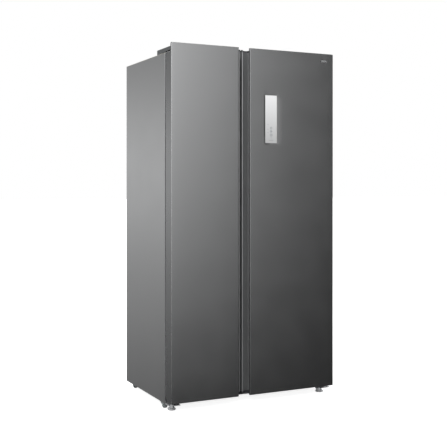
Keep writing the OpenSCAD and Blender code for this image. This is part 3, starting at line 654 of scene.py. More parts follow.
for side in SIDES:
    lo, hi = corners(side + "_door_grip")
    section = grip_section(side)
    rings = []
    for z in np.linspace(lo[2], hi[2], 9):
        rings.append(at_door(side, np.column_stack([section, np.full(len(section), z)])))
    show(side + "_grip", [(np.stack(rings), False, True)], side + "_door", grip_metal, "grip_trim",
        side + "_door_grip", caps=(rings[0], rings[-1]), crease=40)
print("grips made")

# %% [markdown]
# ## The casing
#
# The cabinet's outside is one steel sheet bent over the top like a staple. Its front edge is folded
# inwards into a flange, and that fold is the bright line beside the seal. Each row of the grid is
# an upside-down U with round shoulders; the rows run from the back to the front and then turn in.

# %% Casing
SHOULDER_R = 4 * MM
HEM_R = 2.5 * MM


def staple(y, left, right, top, radius, count=7):
    """An upside-down U at a depth y: up the left side, over both shoulders and down the right side."""
    x0, x1, z1 = -half_w + left, half_w - right, shell_hi[2] - top
    z0 = shell_lo[2]
    rise = np.linspace(z0, z1 - radius, 12)
    line = np.vstack([
        np.stack([np.full(12, x0), rise], axis=-1),
        arc((x0 + radius, z1 - radius), radius, 180, 90, count)[1:],
        np.stack([np.linspace(x0 + radius, x1 - radius, 12)[1:-1], np.full(10, z1)], axis=-1),
        arc((x1 - radius, z1 - radius), radius, 90, 0, count)[:-1],
        np.stack([np.full(12, x1), rise[::-1]], axis=-1),
    ])
    return np.stack([line[:, 0], np.full(len(line), y), line[:, 1]], axis=-1)


cavities = {side: corners(side + "_liner") for side in SIDES}
flange_left = cavities["freezer"][0][0] + half_w
flange_right = half_w - cavities["fridge"][1][0]
flange_top = shell_hi[2] - cavities["freezer"][1][2]
rows = [staple(shell_hi[1], 0, 0, 0, SHOULDER_R)]
for y in np.linspace(shell_hi[1] - 10 * MM, shell_lo[1] + 10 * MM, 8):
    rows.append(staple(y, 0, 0, 0, SHOULDER_R))
for t in np.linspace(0, np.pi / 2, 6):
    drawn = HEM_R * (1 - np.cos(t))
    rows.append(staple(shell_lo[1] + HEM_R * (1 - np.sin(t)), drawn, drawn, drawn, SHOULDER_R))
for k in (0.3, 0.99):
    rows.append(staple(shell_lo[1], flange_left * k, flange_right * k, flange_top * k, SHOULDER_R * (1 - k)))
casing = show("casing", [(np.stack(rows), False, False)], "cabinet", side_paint, "casing_steel",
    "cabinet_shell", facing=(0, 0, 9))
thicken(casing, 0.8 * MM)
print("casing made")

# %% [markdown]
# ## Hinges, feet and rollers
#
# The folded hinge plates, their covers, the screws and the roller brackets keep the measured
# shape and only get soft edges. Feet and rollers are turned parts, so each is a profile spun about
# its axis; a ripple on the radius makes the foot's gripped edge and the thread of its stem.

# %% Hinges and their covers
def lift_nose(places):
    """Raises the cover's lower edge over the door, so that the pin shows in the gap under it."""
    low = (places[:, 2] < shell_hi[2] + 0.5 * MM) & (places[:, 1] < shell_lo[1] - 2 * MM)
    places[low, 2] += 8 * MM
    return places


softened("hinge_covers", "cabinet", cover_moulding, "dark_plastic", 2.2 * MM, 4, reshape=lift_nose)
softened("hinge_plates", "cabinet", bright_steel, "galvanised_steel", 0.5 * MM, 2)
softened("hinge_screws", "cabinet", bright_steel, "galvanised_steel", 0.5 * MM, 2)
softened("roller_brackets", "cabinet", grey_enamel, "galvanised_steel", 0.4 * MM, 2)
for side in SIDES:
    softened(side + "_door_caps", side + "_door", dark_moulding, "dark_plastic", 0.8 * MM, 2)
print("hinges made")

# %% [markdown]
# ### Feet
#
# A levelling foot is a toothed disc to turn by hand, a thick hub and a threaded stem. One lathe
# profile makes all three: the thread is a zigzag of the profile, which at this size looks the same as
# a true helix and stays closed.

# %% Feet
FOOT_TEETH = 40


def foot_ripple(angle, height):
    """Small waves round the disc's edge, and none on the stem."""
    on_disc = (height > 2 * MM) & (height < 8 * MM)
    return np.where(on_disc, 0.018 * (np.cos(FOOT_TEETH * angle) - 1), 0)


for name in ("left", "right"):
    lo, hi = corners("levelling_foot_" + name)
    centre = ((lo[0] + hi[0]) / 2, (lo[1] + hi[1]) / 2, 0)
    edge = (hi[0] - lo[0]) / 2
    disc = [(0, 0), (edge - 4 * MM, 0), (edge - 1.5 * MM, 0.6 * MM), (edge, 2.4 * MM), (edge, 7 * MM),
        (edge - 1 * MM, 8.2 * MM), (edge - 2 * MM, 9.4 * MM), (edge - 5 * MM, 11 * MM)]
    hub = [(13 * MM, 12 * MM), (12.6 * MM, 19 * MM), (11.5 * MM, 20.4 * MM), (5 * MM, 20.8 * MM)]
    thread = [(5 * MM - 0.6 * MM * (k % 2), 21.5 * MM + k * 0.7 * MM) for k in range(15)]
    profile = [*disc, *hub, *thread, (4 * MM, hi[2]), (0, hi[2])]
    show("foot_" + name, [lathe(profile, centre, "z", 160, foot_ripple)], name + "_foot", bright_steel,
        "bright_metal", "levelling_foot_" + name)
print("feet made")

# %% [markdown]
# ### Rollers
#
# A roller is a nylon wheel with a raised tyre, turned about its axle. Half of the rim's section is
# written down and mirrored for the other half, and the bore is left open for the axle.

# %% Rollers
AXLE_R = 4.05 * MM
ROLLER_BODIES = {"front_roller_left": "roller_front_left", "front_roller_right": "roller_front_right",
    "rear_roller_left": "roller_back_left", "rear_roller_right": "roller_back_right"}
for name, body in ROLLER_BODIES.items():
    lo, hi = corners(name)
    r, half = (hi[2] - lo[2]) / 2, (hi[0] - lo[0]) / 2
    rim = [(AXLE_R, half), (8 * MM, half), (8.4 * MM, half - 2 * MM), (r - 3.4 * MM, half - 2 * MM),
        (r - 3 * MM, half - 0.4 * MM), (r - 2.4 * MM, half), (r - 1 * MM, half - 0.3 * MM),
        (r, half - 1.6 * MM)]
    profile = rim + [(a, -b) for a, b in rim[::-1]] + [rim[0]]
    show(name + "_turned", [lathe(profile, (lo + hi) / 2, "x", 64)], body, roller_nylon, "roller_plastic",
        name)
print(len(ROLLER_BODIES), "rollers made")

# %% [markdown]
# ## The display
#
# A pane of pale glass is set flush into the fridge door. Its keys are a column of small printed
# signs in its lower half, which only show as faint marks. They are thin raised shapes here: two
# rings, a six-pointed star of three bars and short dashes, none of them a letter.

# %% Display and name plate
INK = 0.1 * MM
pane = soft_box(display_lo + (0, INK, 0), display_hi, 2.2 * MM, "y", 0.8 * MM, 6)
# The pane's finish carries the painted shade that dims it towards the bottom.
show("display_glass", [pane], "fridge_door", display_shaded_white, "display_glass", "display_panel")


def ring_mark(x, z, radius, width):
    """A flat ring with its printed thickness towards the front."""
    profile = [(radius - width, 0), (radius - width, INK), (radius, INK), (radius, 0), (radius - width, 0)]
    points, wrap_rows, wrap_columns = lathe(profile, (0, 0, 0), "y", 24)
    return (points * (1, -1, 1) + np.array((x, display_lo[1] + INK, z)), wrap_rows, wrap_columns)


def bar_mark(x, z, length, width, turned=0):
    """A thin printed bar, turned in the plane of the glass."""
    start, end = (-length / 2, 0, -width / 2), (length / 2, INK, width / 2)
    block, wrap_rows, wrap_columns = soft_box(start, end, 0.1 * MM, "y", INK / 3, 2)
    c, s = np.cos(turned), np.sin(turned)
    across, deep, up = block[..., 0], block[..., 1], block[..., 2]
    spun = np.stack([across * c - up * s, deep, across * s + up * c], axis=-1)
    return (spun + np.array((x, display_lo[1], z)), wrap_rows, wrap_columns)


top, tall = display_hi[2], display_hi[2] - display_lo[2]
middle = (display_lo[0] + display_hi[0]) / 2
DOWN = {"ring": 0.684, "star": 0.753, "power": 0.83, "dash": 0.889, "foot": 0.94}
spot = {name: top - share * tall for name, share in DOWN.items()}
marks = [ring_mark(middle, spot["ring"], 6 * MM, 2.2 * MM)]
marks += [bar_mark(middle, spot["star"], 15 * MM, 2 * MM, turned) for turned in np.radians((0, 60, 120))]
marks.append(ring_mark(middle, spot["power"], 7 * MM, 2.2 * MM))
marks.append(bar_mark(middle, spot["power"], 7 * MM, 2 * MM, np.radians(90)))
marks.append(bar_mark(middle, spot["dash"], 6 * MM, 1.6 * MM))
marks.append(bar_mark(middle, spot["foot"], 26 * MM, 1.8 * MM))
for share in (0.61, 0.71, 0.78):
    marks.append(bar_mark(middle - 18 * MM, top - share * tall, 6 * MM, 1.4 * MM))
show("display_signs", marks, "fridge_door", icon_ink, "display_glass")
plate = soft_box(*corners("name_plate"), 1.2 * MM, "y", 0.4 * MM, 5)
show("name_plate_blank", [plate], "fridge_door", silver_trim, "bright_metal", "name_plate")
print("pane, plate and", len(marks), "signs made")

# %% [markdown]
# ## Inside the doors
#
# The inner side of a door is one sheet of plastic drawn over a mould: flat where the seal sits,
# then up over a soft rim and down again into a shallow tray that holds the bins. As a stack of
# rounded rectangles it is a dozen levels, each a little further in.

# %% Door liners
def quarter(start, end, a, b, count=5, hollow=False):
    """Steps along a quarter circle between two (inset, height) corners; hollow bends the other way."""
    t = np.linspace(0, np.pi / 2, count)
    if hollow:
        return [(start + (end - start) * (1 - np.cos(x)), a + (b - a) * np.sin(x)) for x in t]
    return [(start + (end - start) * np.sin(x), a + (b - a) * (1 - np.cos(x))) for x in t]


def ringed(base, steps, radius):
    """Levels from one rectangle and a list of (inset, height); the corner keeps its circle's centre."""
    return [inset(base, by, height, max(radius - by, 1 * MM)) for by, height in steps]


def to_door_levels(side, levels):
    """Levels in u, z and v become levels in x, z and y."""
    turned = []
    for u0, u1, z0, z1, r, v in levels:
        x0, x1 = sorted((SIDES[side] * (half_w - u0), SIDES[side] * (half_w - u1)))
        turned.append((x0, x1, z0, z1, r, front_y + v))
    return turned


RIM_WIDE = 14 * MM
RIM_SOFT = 6 * MM
DRAFT = 1.5 * MM
LINER_WALL = 1.5 * MM


def rim_rectangle(side):
    """The raised rim's outline as a level in u and z, one liner wall outside its foam, and its depth."""
    lo, hi = corners(side + "_door_rim_core")
    u0, u1 = sorted(half_w - SIDES[side] * x for x in (lo[0], hi[0]))
    level = (u0 - LINER_WALL, u1 + LINER_WALL, lo[2] - LINER_WALL, hi[2] + LINER_WALL, 16 * MM, 0)
    return level, hi[1] + LINER_WALL - front_y


for side in SIDES:
    lo, hi = liners[side]
    rim, v_top = rim_rectangle(side)
    plate = (SHEET, rear_w[side], lo[2], NOTCH_Z - 1 * MM, 2 * MM, 0)
    plate_steps = [(0, DOOR_DEEP - 7 * MM)] + quarter(0, 2 * MM, DOOR_DEEP - 2 * MM, DOOR_DEEP, 4, True)
    rise = [(-3 * MM, DOOR_DEEP)] + quarter(-3 * MM, 0, DOOR_DEEP, DOOR_DEEP + 4 * MM, 4)
    over_top = quarter(DRAFT, DRAFT + RIM_SOFT, v_top - RIM_SOFT, v_top, 5, True)
    fall = quarter(RIM_WIDE - DRAFT - RIM_SOFT, RIM_WIDE - DRAFT, v_top, v_top - RIM_SOFT, 5)
    floor_in = quarter(RIM_WIDE, RIM_WIDE + 8 * MM, DOOR_DEEP + 8 * MM, DOOR_DEEP + 0.2 * MM, 5, True)
    levels = ringed(plate, plate_steps, 2 * MM) + ringed(rim, rise + over_top + fall + floor_in, 18 * MM)
    levels.append(middle_level(levels[-1]))
    inner = show(side + "_door_inner", [(stack(to_door_levels(side, levels), "y"), False, True)],
        side + "_door", white_moulding, "white_liner", side + "_door_liner", facing=(0, 9, 0.9))
    thicken(inner, 1.2 * MM)

    core_out, core_in = 3 * MM, RIM_WIDE - 3 * MM
    core_steps = [(core_out, DOOR_DEEP - 1 * MM), (core_out, v_top - 7 * MM),
        (core_out + 2 * MM, v_top - 4 * MM), (core_in - 2 * MM, v_top - 4 * MM),
        (core_in, v_top - 7 * MM), (core_in, DOOR_DEEP - 1 * MM)]
    core = stack(to_door_levels(side, ringed(rim, core_steps, 16 * MM)), "y")
    show(side + "_rim_foam", [(core, True, True)], side + "_door", foam_fill, "insulation_foam",
        side + "_door_rim_core")

    ends = at_door(side, [(NOTCH_U, DOOR_DEEP - 3 * MM, NOTCH_Z - 1 * MM), (rear_w[side], DOOR_DEEP, hi[2])])
    strip = soft_box(ends.min(axis=0), ends.max(axis=0), 0.8 * MM, "z", 0.8 * MM)
    show(side + "_door_top_strip", [strip], side + "_door", white_moulding, "white_liner")
print("door liners made")

# %% [markdown]
# ## Seals
#
# A refrigerator's seal is a soft hollow profile: a foot pushed into the door, a pleat that lets it
# stretch, and a flat tube with a magnetic strip. Its closed section runs round a rounded rectangle,
# and the corners are welded square on the real one too.

# %% Seals
# Half of the section in millimetres, as (inset, height): foot, pleat and tube. The other half mirrors it.
SEAL_WIDE = 13
SEAL_HALF = [(3, 0), (1.5, 2.2), (0.2, 3.6), (1.8, 5.4), (0.4, 6.6), (0, 9.0), (0.2, 12.4), (1.2, 13.5)]
section = SEAL_HALF + [(SEAL_WIDE / 2, 13.5)] + [(SEAL_WIDE - a, b) for a, b in SEAL_HALF[::-1]]
for side in SIDES:
    lo, hi = corners(side + "_door_gasket")
    base = (lo[0], hi[0], lo[2], hi[2], 3 * MM, 0)
    y0, y1 = lo[1] + 0.2 * MM, hi[1]
    levels = [inset(base, a * MM, min(y0 + b * MM, y1), max(3 - a, 0.3) * MM) for a, b in section]
    show(side + "_seal", [(stack(levels, "y", 4), True, True)], side + "_door", grey_rubber, "grey_seal",
        side + "_door_gasket", crease=50)
print("seals made")

# %% [markdown]
# ## Bins and drawers
#
# Bins and drawers are clear plastic tubs: walls that lean out a little so that they leave the mould,
# a rolled rim, and round corners. The stack goes up the outside, over the rim, down the inside and
# closes in the middle of the floor, so that the wall has a real thickness.

# %% Tubs
def tub_levels(lo, hi, wall, corner, lean, rim):
    """Up the outside with a lean, out over a rolled rim, and down the inside to the floor."""
    base = (lo[0], hi[0], lo[1], hi[1], corner, lo[2])
    foot = 5 * MM
    floor, top, inner = lo[2], hi[2], lean + wall
    steps = [(lean + foot * 0.7, floor), (lean + foot * 0.2, floor + foot * 0.3), (lean, floor + foot),
        (rim, top - 3 * rim), (rim * 0.2, top - 2 * rim), (0, top - rim), (rim * 0.3, top - rim * 0.3),
        (rim, top), (rim + wall * 0.6, top - rim * 0.3), (rim + wall, top - rim),
        (inner, floor + wall + foot), (inner + foot * 0.25, floor + wall + foot * 0.3),
        (inner + foot, floor + wall)]
    levels = [inset(base, by, height) for by, height in steps]
    return [middle_level(levels[0])] + levels + [middle_level(levels[-1])]


WALL = 2.2 * MM
for side in SIDES:
    for number in range(1, 5):
        node = f"{side}_bin_{number}"
        lo, hi = corners(node)
        levels = tub_levels(lo, hi, WALL, 16 * MM, 4 * MM, 1.6 * MM)
        show(node + "_tub", [(stack(levels, "z"), False, True)], side + "_door", clear_moulding,
            "clear_plastic", node)
        band_z = hi[2] - 15 * MM
        band = soft_box((lo[0] + 18 * MM, hi[1] - 1.6 * MM, band_z),
            (hi[0] - 18 * MM, hi[1] - 0.1 * MM, band_z + 9 * MM), 0.7 * MM, "z", 0.6 * MM)
        show(node + "_band", [band], side + "_door", silver_trim, "trim_silver")
print("bins made")

# %% [markdown]
# ### Drawers
#
# A drawer is the same tub with two ledges that hang on the rails and a taller front. Its pull is a
# metal strip along the upper edge. All of them are blocks with soft edges, which overlap a little as
# moulded parts run into each other.

# %% Drawers
DRAWER_BODIES = {"freezer_drawer_upper": "upper_freezer_drawer",
    "freezer_drawer_lower": "lower_freezer_drawer",
    "crisper_upper": "upper_crisper", "crisper_lower": "lower_crisper"}
LEDGE_WIDE = 9 * MM
RIM_HIGH = 3 * MM
side_gap = LEDGE_WIDE + 1 * MM
for node, body in DRAWER_BODIES.items():
    lo, hi = corners(node)
    tub_y = lo[1] + 8 * MM
    face_y = tub_y - WALL
    rim_z = hi[2] - 9 * MM
    x0, x1 = lo[0] + side_gap - 0.3 * MM, hi[0] - side_gap + 0.3 * MM
    tub = tub_levels((x0, tub_y, lo[2]), (x1, hi[1], rim_z + RIM_HIGH), WALL, 14 * MM, 3 * MM, 1.2 * MM)
    grids = [(stack(tub, "z"), False, True)]
    for x in (lo[0], hi[0] - side_gap):
        start, end = (x, tub_y, rim_z), (x + side_gap, hi[1], rim_z + RIM_HIGH)
        grids.append(soft_box(start, end, 1 * MM, "z", 0.8 * MM))
    left, right = lo[0] + 0.8 * MM, hi[0] - 0.8 * MM
    grids.append(soft_box((left, face_y, lo[2]), (right, tub_y + 0.3 * MM, hi[2]), 1.2 * MM, "y", 0.9 * MM))
    show(node + "_tub", grids, body, clear_moulding, "clear_plastic", node)
    pull = soft_box((lo[0] + 40 * MM, lo[1], hi[2] - 6 * MM),
        (hi[0] - 40 * MM, face_y + 0.2 * MM, hi[2]), 2.4 * MM, "x", 2 * MM)
    edge = soft_box((left, face_y - 0.6 * MM, hi[2] - 14 * MM),
        (right, face_y + 0.4 * MM, hi[2] - 1 * MM), 0.4 * MM, "z", 0.4 * MM)
    show(node + "_pull", [pull, edge], body, silver_trim, "trim_silver")
print(len(DRAWER_BODIES), "drawers made")

# %% [markdown]
# ## Inside the cabinet
#
# Each compartment is one drawn sheet as well. Going inwards from the front, its floor runs level,
# climbs over the machine room and runs on to the back. The stack is a list of rectangles whose
# lower edge follows that path while the other three edges stay put, so that one surface makes the
# flange, the rounded mouth, the walls, the step and the back. The strips that carry the shelves are
# rounded bars let into the walls.

# %% Compartments
FLANGE = 14 * MM
BEND = 14 * MM
STEP_BEND = 8 * MM
TRIM_OVER = 6 * MM
trims_lo, trims_hi = corners("shelf_trims")
step_y = corners("crisper_lower")[1][1] + 3 * MM
step_z = corners("crisper_upper")[0][2] - 4 * MM


def compartment_levels(side):
    """The mouth's bend outwards, the run along the floor and over the step, and the bend into the back."""
    lo, hi = cavities[side]
    x0, x1, z0, z1 = lo[0] + FLANGE, hi[0] - FLANGE, lo[2] + FLANGE, hi[2] - FLANGE
    y0, y1 = lo[1], hi[1] - 1.5 * MM
    levels = [(lo[0], hi[0], lo[2], hi[2], 2 * MM, y0)]
    for a, y in quarter(3 * MM, 0, y0, y0 + 3 * MM, 4):
        levels.append((x0 - a, x1 + a, z0 - a, z1 + a, BEND + a, y))
    turn = np.linspace(0.3, np.pi / 2, 5)
    sine, rest = np.sin(turn), 1 - np.cos(turn)
    floor_path = np.vstack([
        [(y0 + 20 * MM, z0), (step_y - BEND, z0)],
        np.stack([step_y - BEND + BEND * sine, z0 + BEND * rest], axis=-1),
        [(step_y, step_z - STEP_BEND)],
        np.stack([step_y + STEP_BEND * rest, step_z - STEP_BEND + STEP_BEND * sine], axis=-1),
        [(y1 - BEND, step_z)],
    ])
    levels += [(x0, x1, z, z1, BEND, y) for y, z in floor_path]
    for a, y in quarter(0, 12 * MM, y1 - BEND, y1, 5, True)[1:]:
        levels.append((x0 + a, x1 - a, step_z + a, z1 - a, max(BEND - a, 2 * MM), y))
    return levels + [middle_level(levels[-1])]


print("a compartment has", len(compartment_levels("fridge")), "levels")

# %% [markdown]
# ### Rails
#
# Every shelf and drawer rests on a ledge at both sides. They are drawn into the liner on the real
# object. Pulling them out of that sheet would need a fine grid all over it, so each ledge is its own
# soft block against the wall.

# %% Rails
SHELVES = {"freezer": 6, "fridge": 5}
SIDE_DRAWERS = {"freezer": ("freezer_drawer_lower", "freezer_drawer_upper"),
    "fridge": ("crisper_lower", "crisper_upper")}
LEDGE_HIGH = 7 * MM
zone_z = trims_lo[2] + TRIM_OVER
ceiling = cavities["freezer"][1][2] - FLANGE
shelf_heights = {side: zone_z + np.arange(n) * (ceiling - zone_z) / n for side, n in SHELVES.items()}
back_room = {"freezer": 60 * MM, "fridge": 0}


def rail_grids(side):
    """A pair of ledges under every shelf and drawer of a compartment."""
    x0, x1 = cavities[side][0][0] + FLANGE, cavities[side][1][0] - FLANGE
    back_y = cavities[side][1][1] - 1.5 * MM - back_room[side]
    strips = [(trims_hi[1], back_y, z) for z in shelf_heights[side]]
    for node in SIDE_DRAWERS[side]:
        rim = corners(node)[1][2] - 9.3 * MM
        strips.append((trims_hi[1] + 8 * MM, step_y if "lower" in node else back_y, rim))
    grids = []
    for start_y, end_y, z in strips:
        for x in (x0, x1 - LEDGE_WIDE):
            start, end = (x, start_y, z - LEDGE_HIGH), (x + LEDGE_WIDE, end_y, z)
            grids.append(soft_box(start, end, 1.6 * MM, "y", 1.2 * MM))
    return grids


for side in SIDES:
    middle_x = (cavities[side][0][0] + cavities[side][1][0]) / 2
    sheet = show(side + "_compartment", [(stack(compartment_levels(side), "y"), False, True)], "cabinet",
        white_moulding, "white_liner", side + "_liner", facing=(middle_x, 0, 0.9))
    thicken(sheet, 1.1 * MM)
    show(side + "_rails", rail_grids(side), "cabinet", white_moulding, "white_liner")
print("compartments and rails made")

# %% [markdown]
# ### Shelves and lamps
#
# A shelf is a pane of toughened glass with a moulded trim along its front. The glass is greenish at
# its edges, so its finish is tinted and see-through. The lamps are flat lenses that glow a little.

# %% Shelves and lamps
PANE = 4 * MM
BEHIND_SHELVES = {"freezer": "evaporator_cover", "fridge": "fridge_air_duct"}
glass, trim = [], []
for side, heights in shelf_heights.items():
    lo, hi = cavities[side]
    x0, x1 = lo[0] + FLANGE + 0.5 * MM, hi[0] - FLANGE - 0.5 * MM
    back_y = corners(BEHIND_SHELVES[side])[0][1] - 0.3 * MM
    for z in heights:
        glass.append(soft_box((x0, trims_hi[1], z), (x1, back_y, z + PANE), 1.2 * MM, "z", 0.8 * MM))
        front_lo, front_hi = (x0, trims_lo[1], z - TRIM_OVER), (x1, trims_hi[1], z + PANE + TRIM_OVER)
        trim.append(soft_box(front_lo, front_hi, 2.4 * MM, "x", 1 * MM, 5))
show("shelf_panes", glass, "cabinet", shelf_glass, "shelf_glass", "glass_shelves")
show("shelf_fronts", trim, "cabinet", silver_trim, "trim_silver", "shelf_trims")

LENS_HALF = 60 * MM
lo, hi = corners("lamps")
lenses = []
for side in SIDES:
    x = (cavities[side][0][0] + cavities[side][1][0]) / 2
    start, end = (x - LENS_HALF, lo[1], lo[2]), (x + LENS_HALF, hi[1], hi[2])
    lenses.append(soft_box(start, end, 6 * MM, "z", 3 * MM, 6))
show("lamp_lenses", lenses, "cabinet", lamp_lens, "lamp_diffuser", "lamps")
softened("evaporator_cover", "cabinet", white_moulding, "white_liner", 0.9 * MM)
softened("fridge_air_duct", "cabinet", white_moulding, "white_liner", 2.5 * MM)
softened("mullion_plate", "cabinet", side_paint, "galvanised_steel", 0.5 * MM, 2)
softened("bottom_plate", "cabinet", zinc, "galvanised_steel", 0.4 * MM, 2)
print("shelves, lamps and covers made")

# %% [markdown]
# ## Fans
#
# A fan blade is a surface of two parameters: how far out along the blade, and how far across it.
# The angle of attack falls towards the tip, because the tip moves faster than the root, and the
# blade is swept a little. Two sheets a millimetre apart, closed at their edges, make one blade.

# %% Fans
def fan_grids(hub_r, tip_r, deep, blades, bore):
    """A hub turned on a profile, and blades whose pitch eases from 42 to 24 degrees towards the tip."""
    hub = [(bore, 0), (hub_r - 2 * MM, 0), (hub_r, 1.5 * MM), (hub_r, deep - 1.5 * MM),
        (hub_r - 2 * MM, deep), (bore, deep), (bore, 0)]
    grids = [lathe(hub, (0, 0, 0), "x", 40)]
    out = np.linspace(0, 1, 10)[:, None]
    across = np.linspace(-1, 1, 9)[None, :]
    radius = hub_r - 1 * MM + (tip_r - hub_r) * out + 0 * across
    pitch = np.radians(42 - 18 * out)
    chord = hub_r * (0.62 + 0.55 * out)
    lift = across * chord * np.sin(pitch) * 0.5
    turn_by = (across * chord * np.cos(pitch) + 0.25 * hub_r * out ** 2) / radius
    limit = deep / 2 - 1 * MM
    lift = np.clip(lift, -limit, limit)
    for k in range(blades):
        angle = turn_by + 2 * np.pi * k / blades
        faces = []
        for offset in (-0.5 * MM, 0.5 * MM):
            blade = [deep / 2 + lift + offset, radius * np.cos(angle), radius * np.sin(angle)]
            faces.append(np.stack(blade, axis=-1))
        shut = np.concatenate([faces[0], faces[1][:, ::-1]], axis=1)
        grids.append((shut, False, True))
        for row in (0, -1):
            grids.append((np.stack([faces[0][row], faces[1][row]]), False, False))
    return grids


def moved(grids, matrix, offset):
    """Turns grids by a 3 by 3 matrix and moves them."""
    return [(g[0] @ np.array(matrix, float).T + np.array(offset), *g[1:]) for g in grids]


BLADES = 5
QUARTER_TURN = ((0, -1, 0), (1, 0, 0), (0, 0, 1))
lo, hi = corners("condenser_fan")
centre = (lo[0], (lo[1] + hi[1]) / 2, (lo[2] + hi[2]) / 2)
wheel = fan_grids(15 * MM, (hi[2] - lo[2]) / 2, 14 * MM, BLADES, 3.05 * MM)
show("cooling_fan_wheel", moved(wheel, np.eye(3), centre), "cooling_fan", light_moulding, "light_plastic",
    "condenser_fan")
lo, hi = corners("evaporator_fan")
centre = ((lo[0] + hi[0]) / 2, lo[1], (lo[2] + hi[2]) / 2)
wheel = fan_grids(12 * MM, (hi[2] - lo[2]) / 2, 12 * MM, BLADES, 2.55 * MM)
show("cold_air_fan_wheel", moved(wheel, QUARTER_TURN, centre), "cold_air_fan", light_moulding,
    "light_plastic", "evaporator_fan")
print("fans made")

# %% [markdown]
# ## The machine room
#
# Behind the vented cover at the bottom of the back sit the compressor, its condenser and fan, and
# the tray that melts away the frost. The can is two pressed cups welded round a rim, so it is a
# turned profile; the coil is one tube that runs to and fro through thin fins.

# %% Coils
def finned_coil(node, fins, rows, columns, tube_r):
    """Thin fins across the node's box, and one tube whose runs are joined by half circles at the ends."""
    lo, hi = corners(node)
    bend = (hi[2] - lo[2]) / rows / 2
    x0, x1 = lo[0] + bend + tube_r, hi[0] - bend - tube_r
    turn = np.linspace(0.3, np.pi - 0.3, 6)
    grids = []
    for x in np.linspace(x0 + 3 * MM, x1 - 3 * MM, fins):
        start, end = (x - 0.4 * MM, lo[1], lo[2]), (x + 0.4 * MM, hi[1], hi[2])
        grids.append(soft_box(start, end, 0.3 * MM, "x", 0.12 * MM, 2))
    for c in range(columns):
        y = lo[1] + (c + 0.5) * (hi[1] - lo[1]) / columns
        path = []
        for r in range(rows):
            z = lo[2] + (2 * r + 1) * bend
            way, ends = (1, (x0, x1)) if r % 2 == 0 else (-1, (x1, x0))
            path += [(x, y, z) for x in np.linspace(*ends, 6)]
            if r < rows - 1:
                path += [(ends[1] + way * bend * np.sin(t), y, z + bend * (1 - np.cos(t))) for t in turn]
        grids.append(tube(path, tube_r, 8))
    return grids


show("condenser_coil", finned_coil("condenser", 26, 4, 3, 3.2 * MM), "cabinet", black_enamel,
    "black_enamel", "condenser")
show("evaporator_coil", finned_coil("evaporator", 40, 7, 2, 4 * MM), "cabinet", raw_aluminium,
    "bare_aluminium", "evaporator")
print("coils made")

# %% [markdown]
# ### Compressor
#
# The can stands on a foot plate with four rubber bushes, with its relay box at one side and three
# short pipe stubs at the other. Can and bushes are turned, and the stubs are tubes along broken lines
# whose corners are cut until they are round.

# %% Compressor
lo, hi = corners("compressor")
can_r = (hi[1] - lo[1]) / 2
half = can_r * 0.85
BUSH_HIGH = 10 * MM
FOOT_END = 12 * MM
can = np.array((lo[0] + half + FOOT_END, (lo[1] + hi[1]) / 2, lo[2] + BUSH_HIGH))
tall = hi[2] - can[2]
profile = [(0, 0), (can_r - 16 * MM, 0), (can_r - 5 * MM, 6 * MM), (can_r - 2 * MM, 18 * MM),
    (can_r - 2 * MM, tall - 62 * MM), (can_r, tall - 61 * MM), (can_r, tall - 55 * MM),
    (can_r - 2 * MM, tall - 54 * MM), (can_r - 4 * MM, tall - 34 * MM), (can_r - 14 * MM, tall - 14 * MM),
    (can_r * 0.5, tall - 3 * MM), (0, tall)]
foot_plate = soft_box(can - (half + FOOT_END, half, 0), can + (half + FOOT_END, half, 3 * MM),
    14 * MM, "z", 0.8 * MM, 5)
relay_box = soft_box(can + (can_r - 10 * MM, -26 * MM, 34 * MM), (hi[0], can[1] + 26 * MM, can[2] + 92 * MM),
    5 * MM, "x", 4 * MM, 5)
grids = [lathe(chaikin(profile, 2), can, "z", 64), foot_plate, relay_box]
STUB = np.array([(0, 0, 0), (-12, -6, 0), (-14, -8, 14), (-14, -8, 34)]) * MM
for height, radius in ((44, 4), (62, 3), (78, 3)):
    start = can + (-can_r * 0.7, -can_r * 0.6, height * MM)
    grids.append(tube(chaikin(start + STUB, 3), radius * MM, 10))
show("compressor_can", grids, "cabinet", black_enamel, "black_enamel", "compressor")

rubber = np.array([(3, 0), (8.6, 0), (9, 1), (7.4, 4), (7.4, 6), (9, 9), (8.4, 10), (3, 10), (3, 0)]) * MM
bushes = []
for i in (-1, 1):
    for j in (-1, 1):
        bushes.append(lathe(rubber, can + (i * half, j * (half - FOOT_END), -BUSH_HIGH), "z", 28))
show("compressor_bushes", bushes, "cabinet", grey_rubber, "grey_seal")
print("compressor made")

# %% [markdown]
# ### Tray, fan frame, base and inlet
#
# The tray is one more tub. The others are folded or moulded pieces that the measured model already
# has right, so each is a softened copy.

# %% Tray, fan frame, base and inlet
levels = tub_levels(*corners("drip_tray"), 2 * MM, 14 * MM, 3 * MM, 1.4 * MM)
show("drip_tray_tub", [(stack(levels, "z"), False, True)], "cabinet", dark_moulding, "dark_plastic",
    "drip_tray")
softened("condenser_fan_frame", "cabinet", dark_moulding, "dark_plastic", 1.2 * MM)
softened("compressor_base", "cabinet", zinc, "galvanised_steel", 0.5 * MM, 2)
softened("mains_inlet", "cabinet", dark_moulding, "dark_plastic", 0.5 * MM, 2)
softened("machine_cover", "cabinet", zinc, "galvanised_steel", 0.3 * MM, 2)
print("machine room made")

# %% [markdown]
# ## The back
#
# The back is one large zinc-coated sheet. A sheet that size would boom and buckle, so it is pressed
# with long shallow ribs, and its edge is held by a row of screws. The ribs are a height added to a
# flat grid: the cosine of the distance from each rib's middle, faded out at the rib's ends.

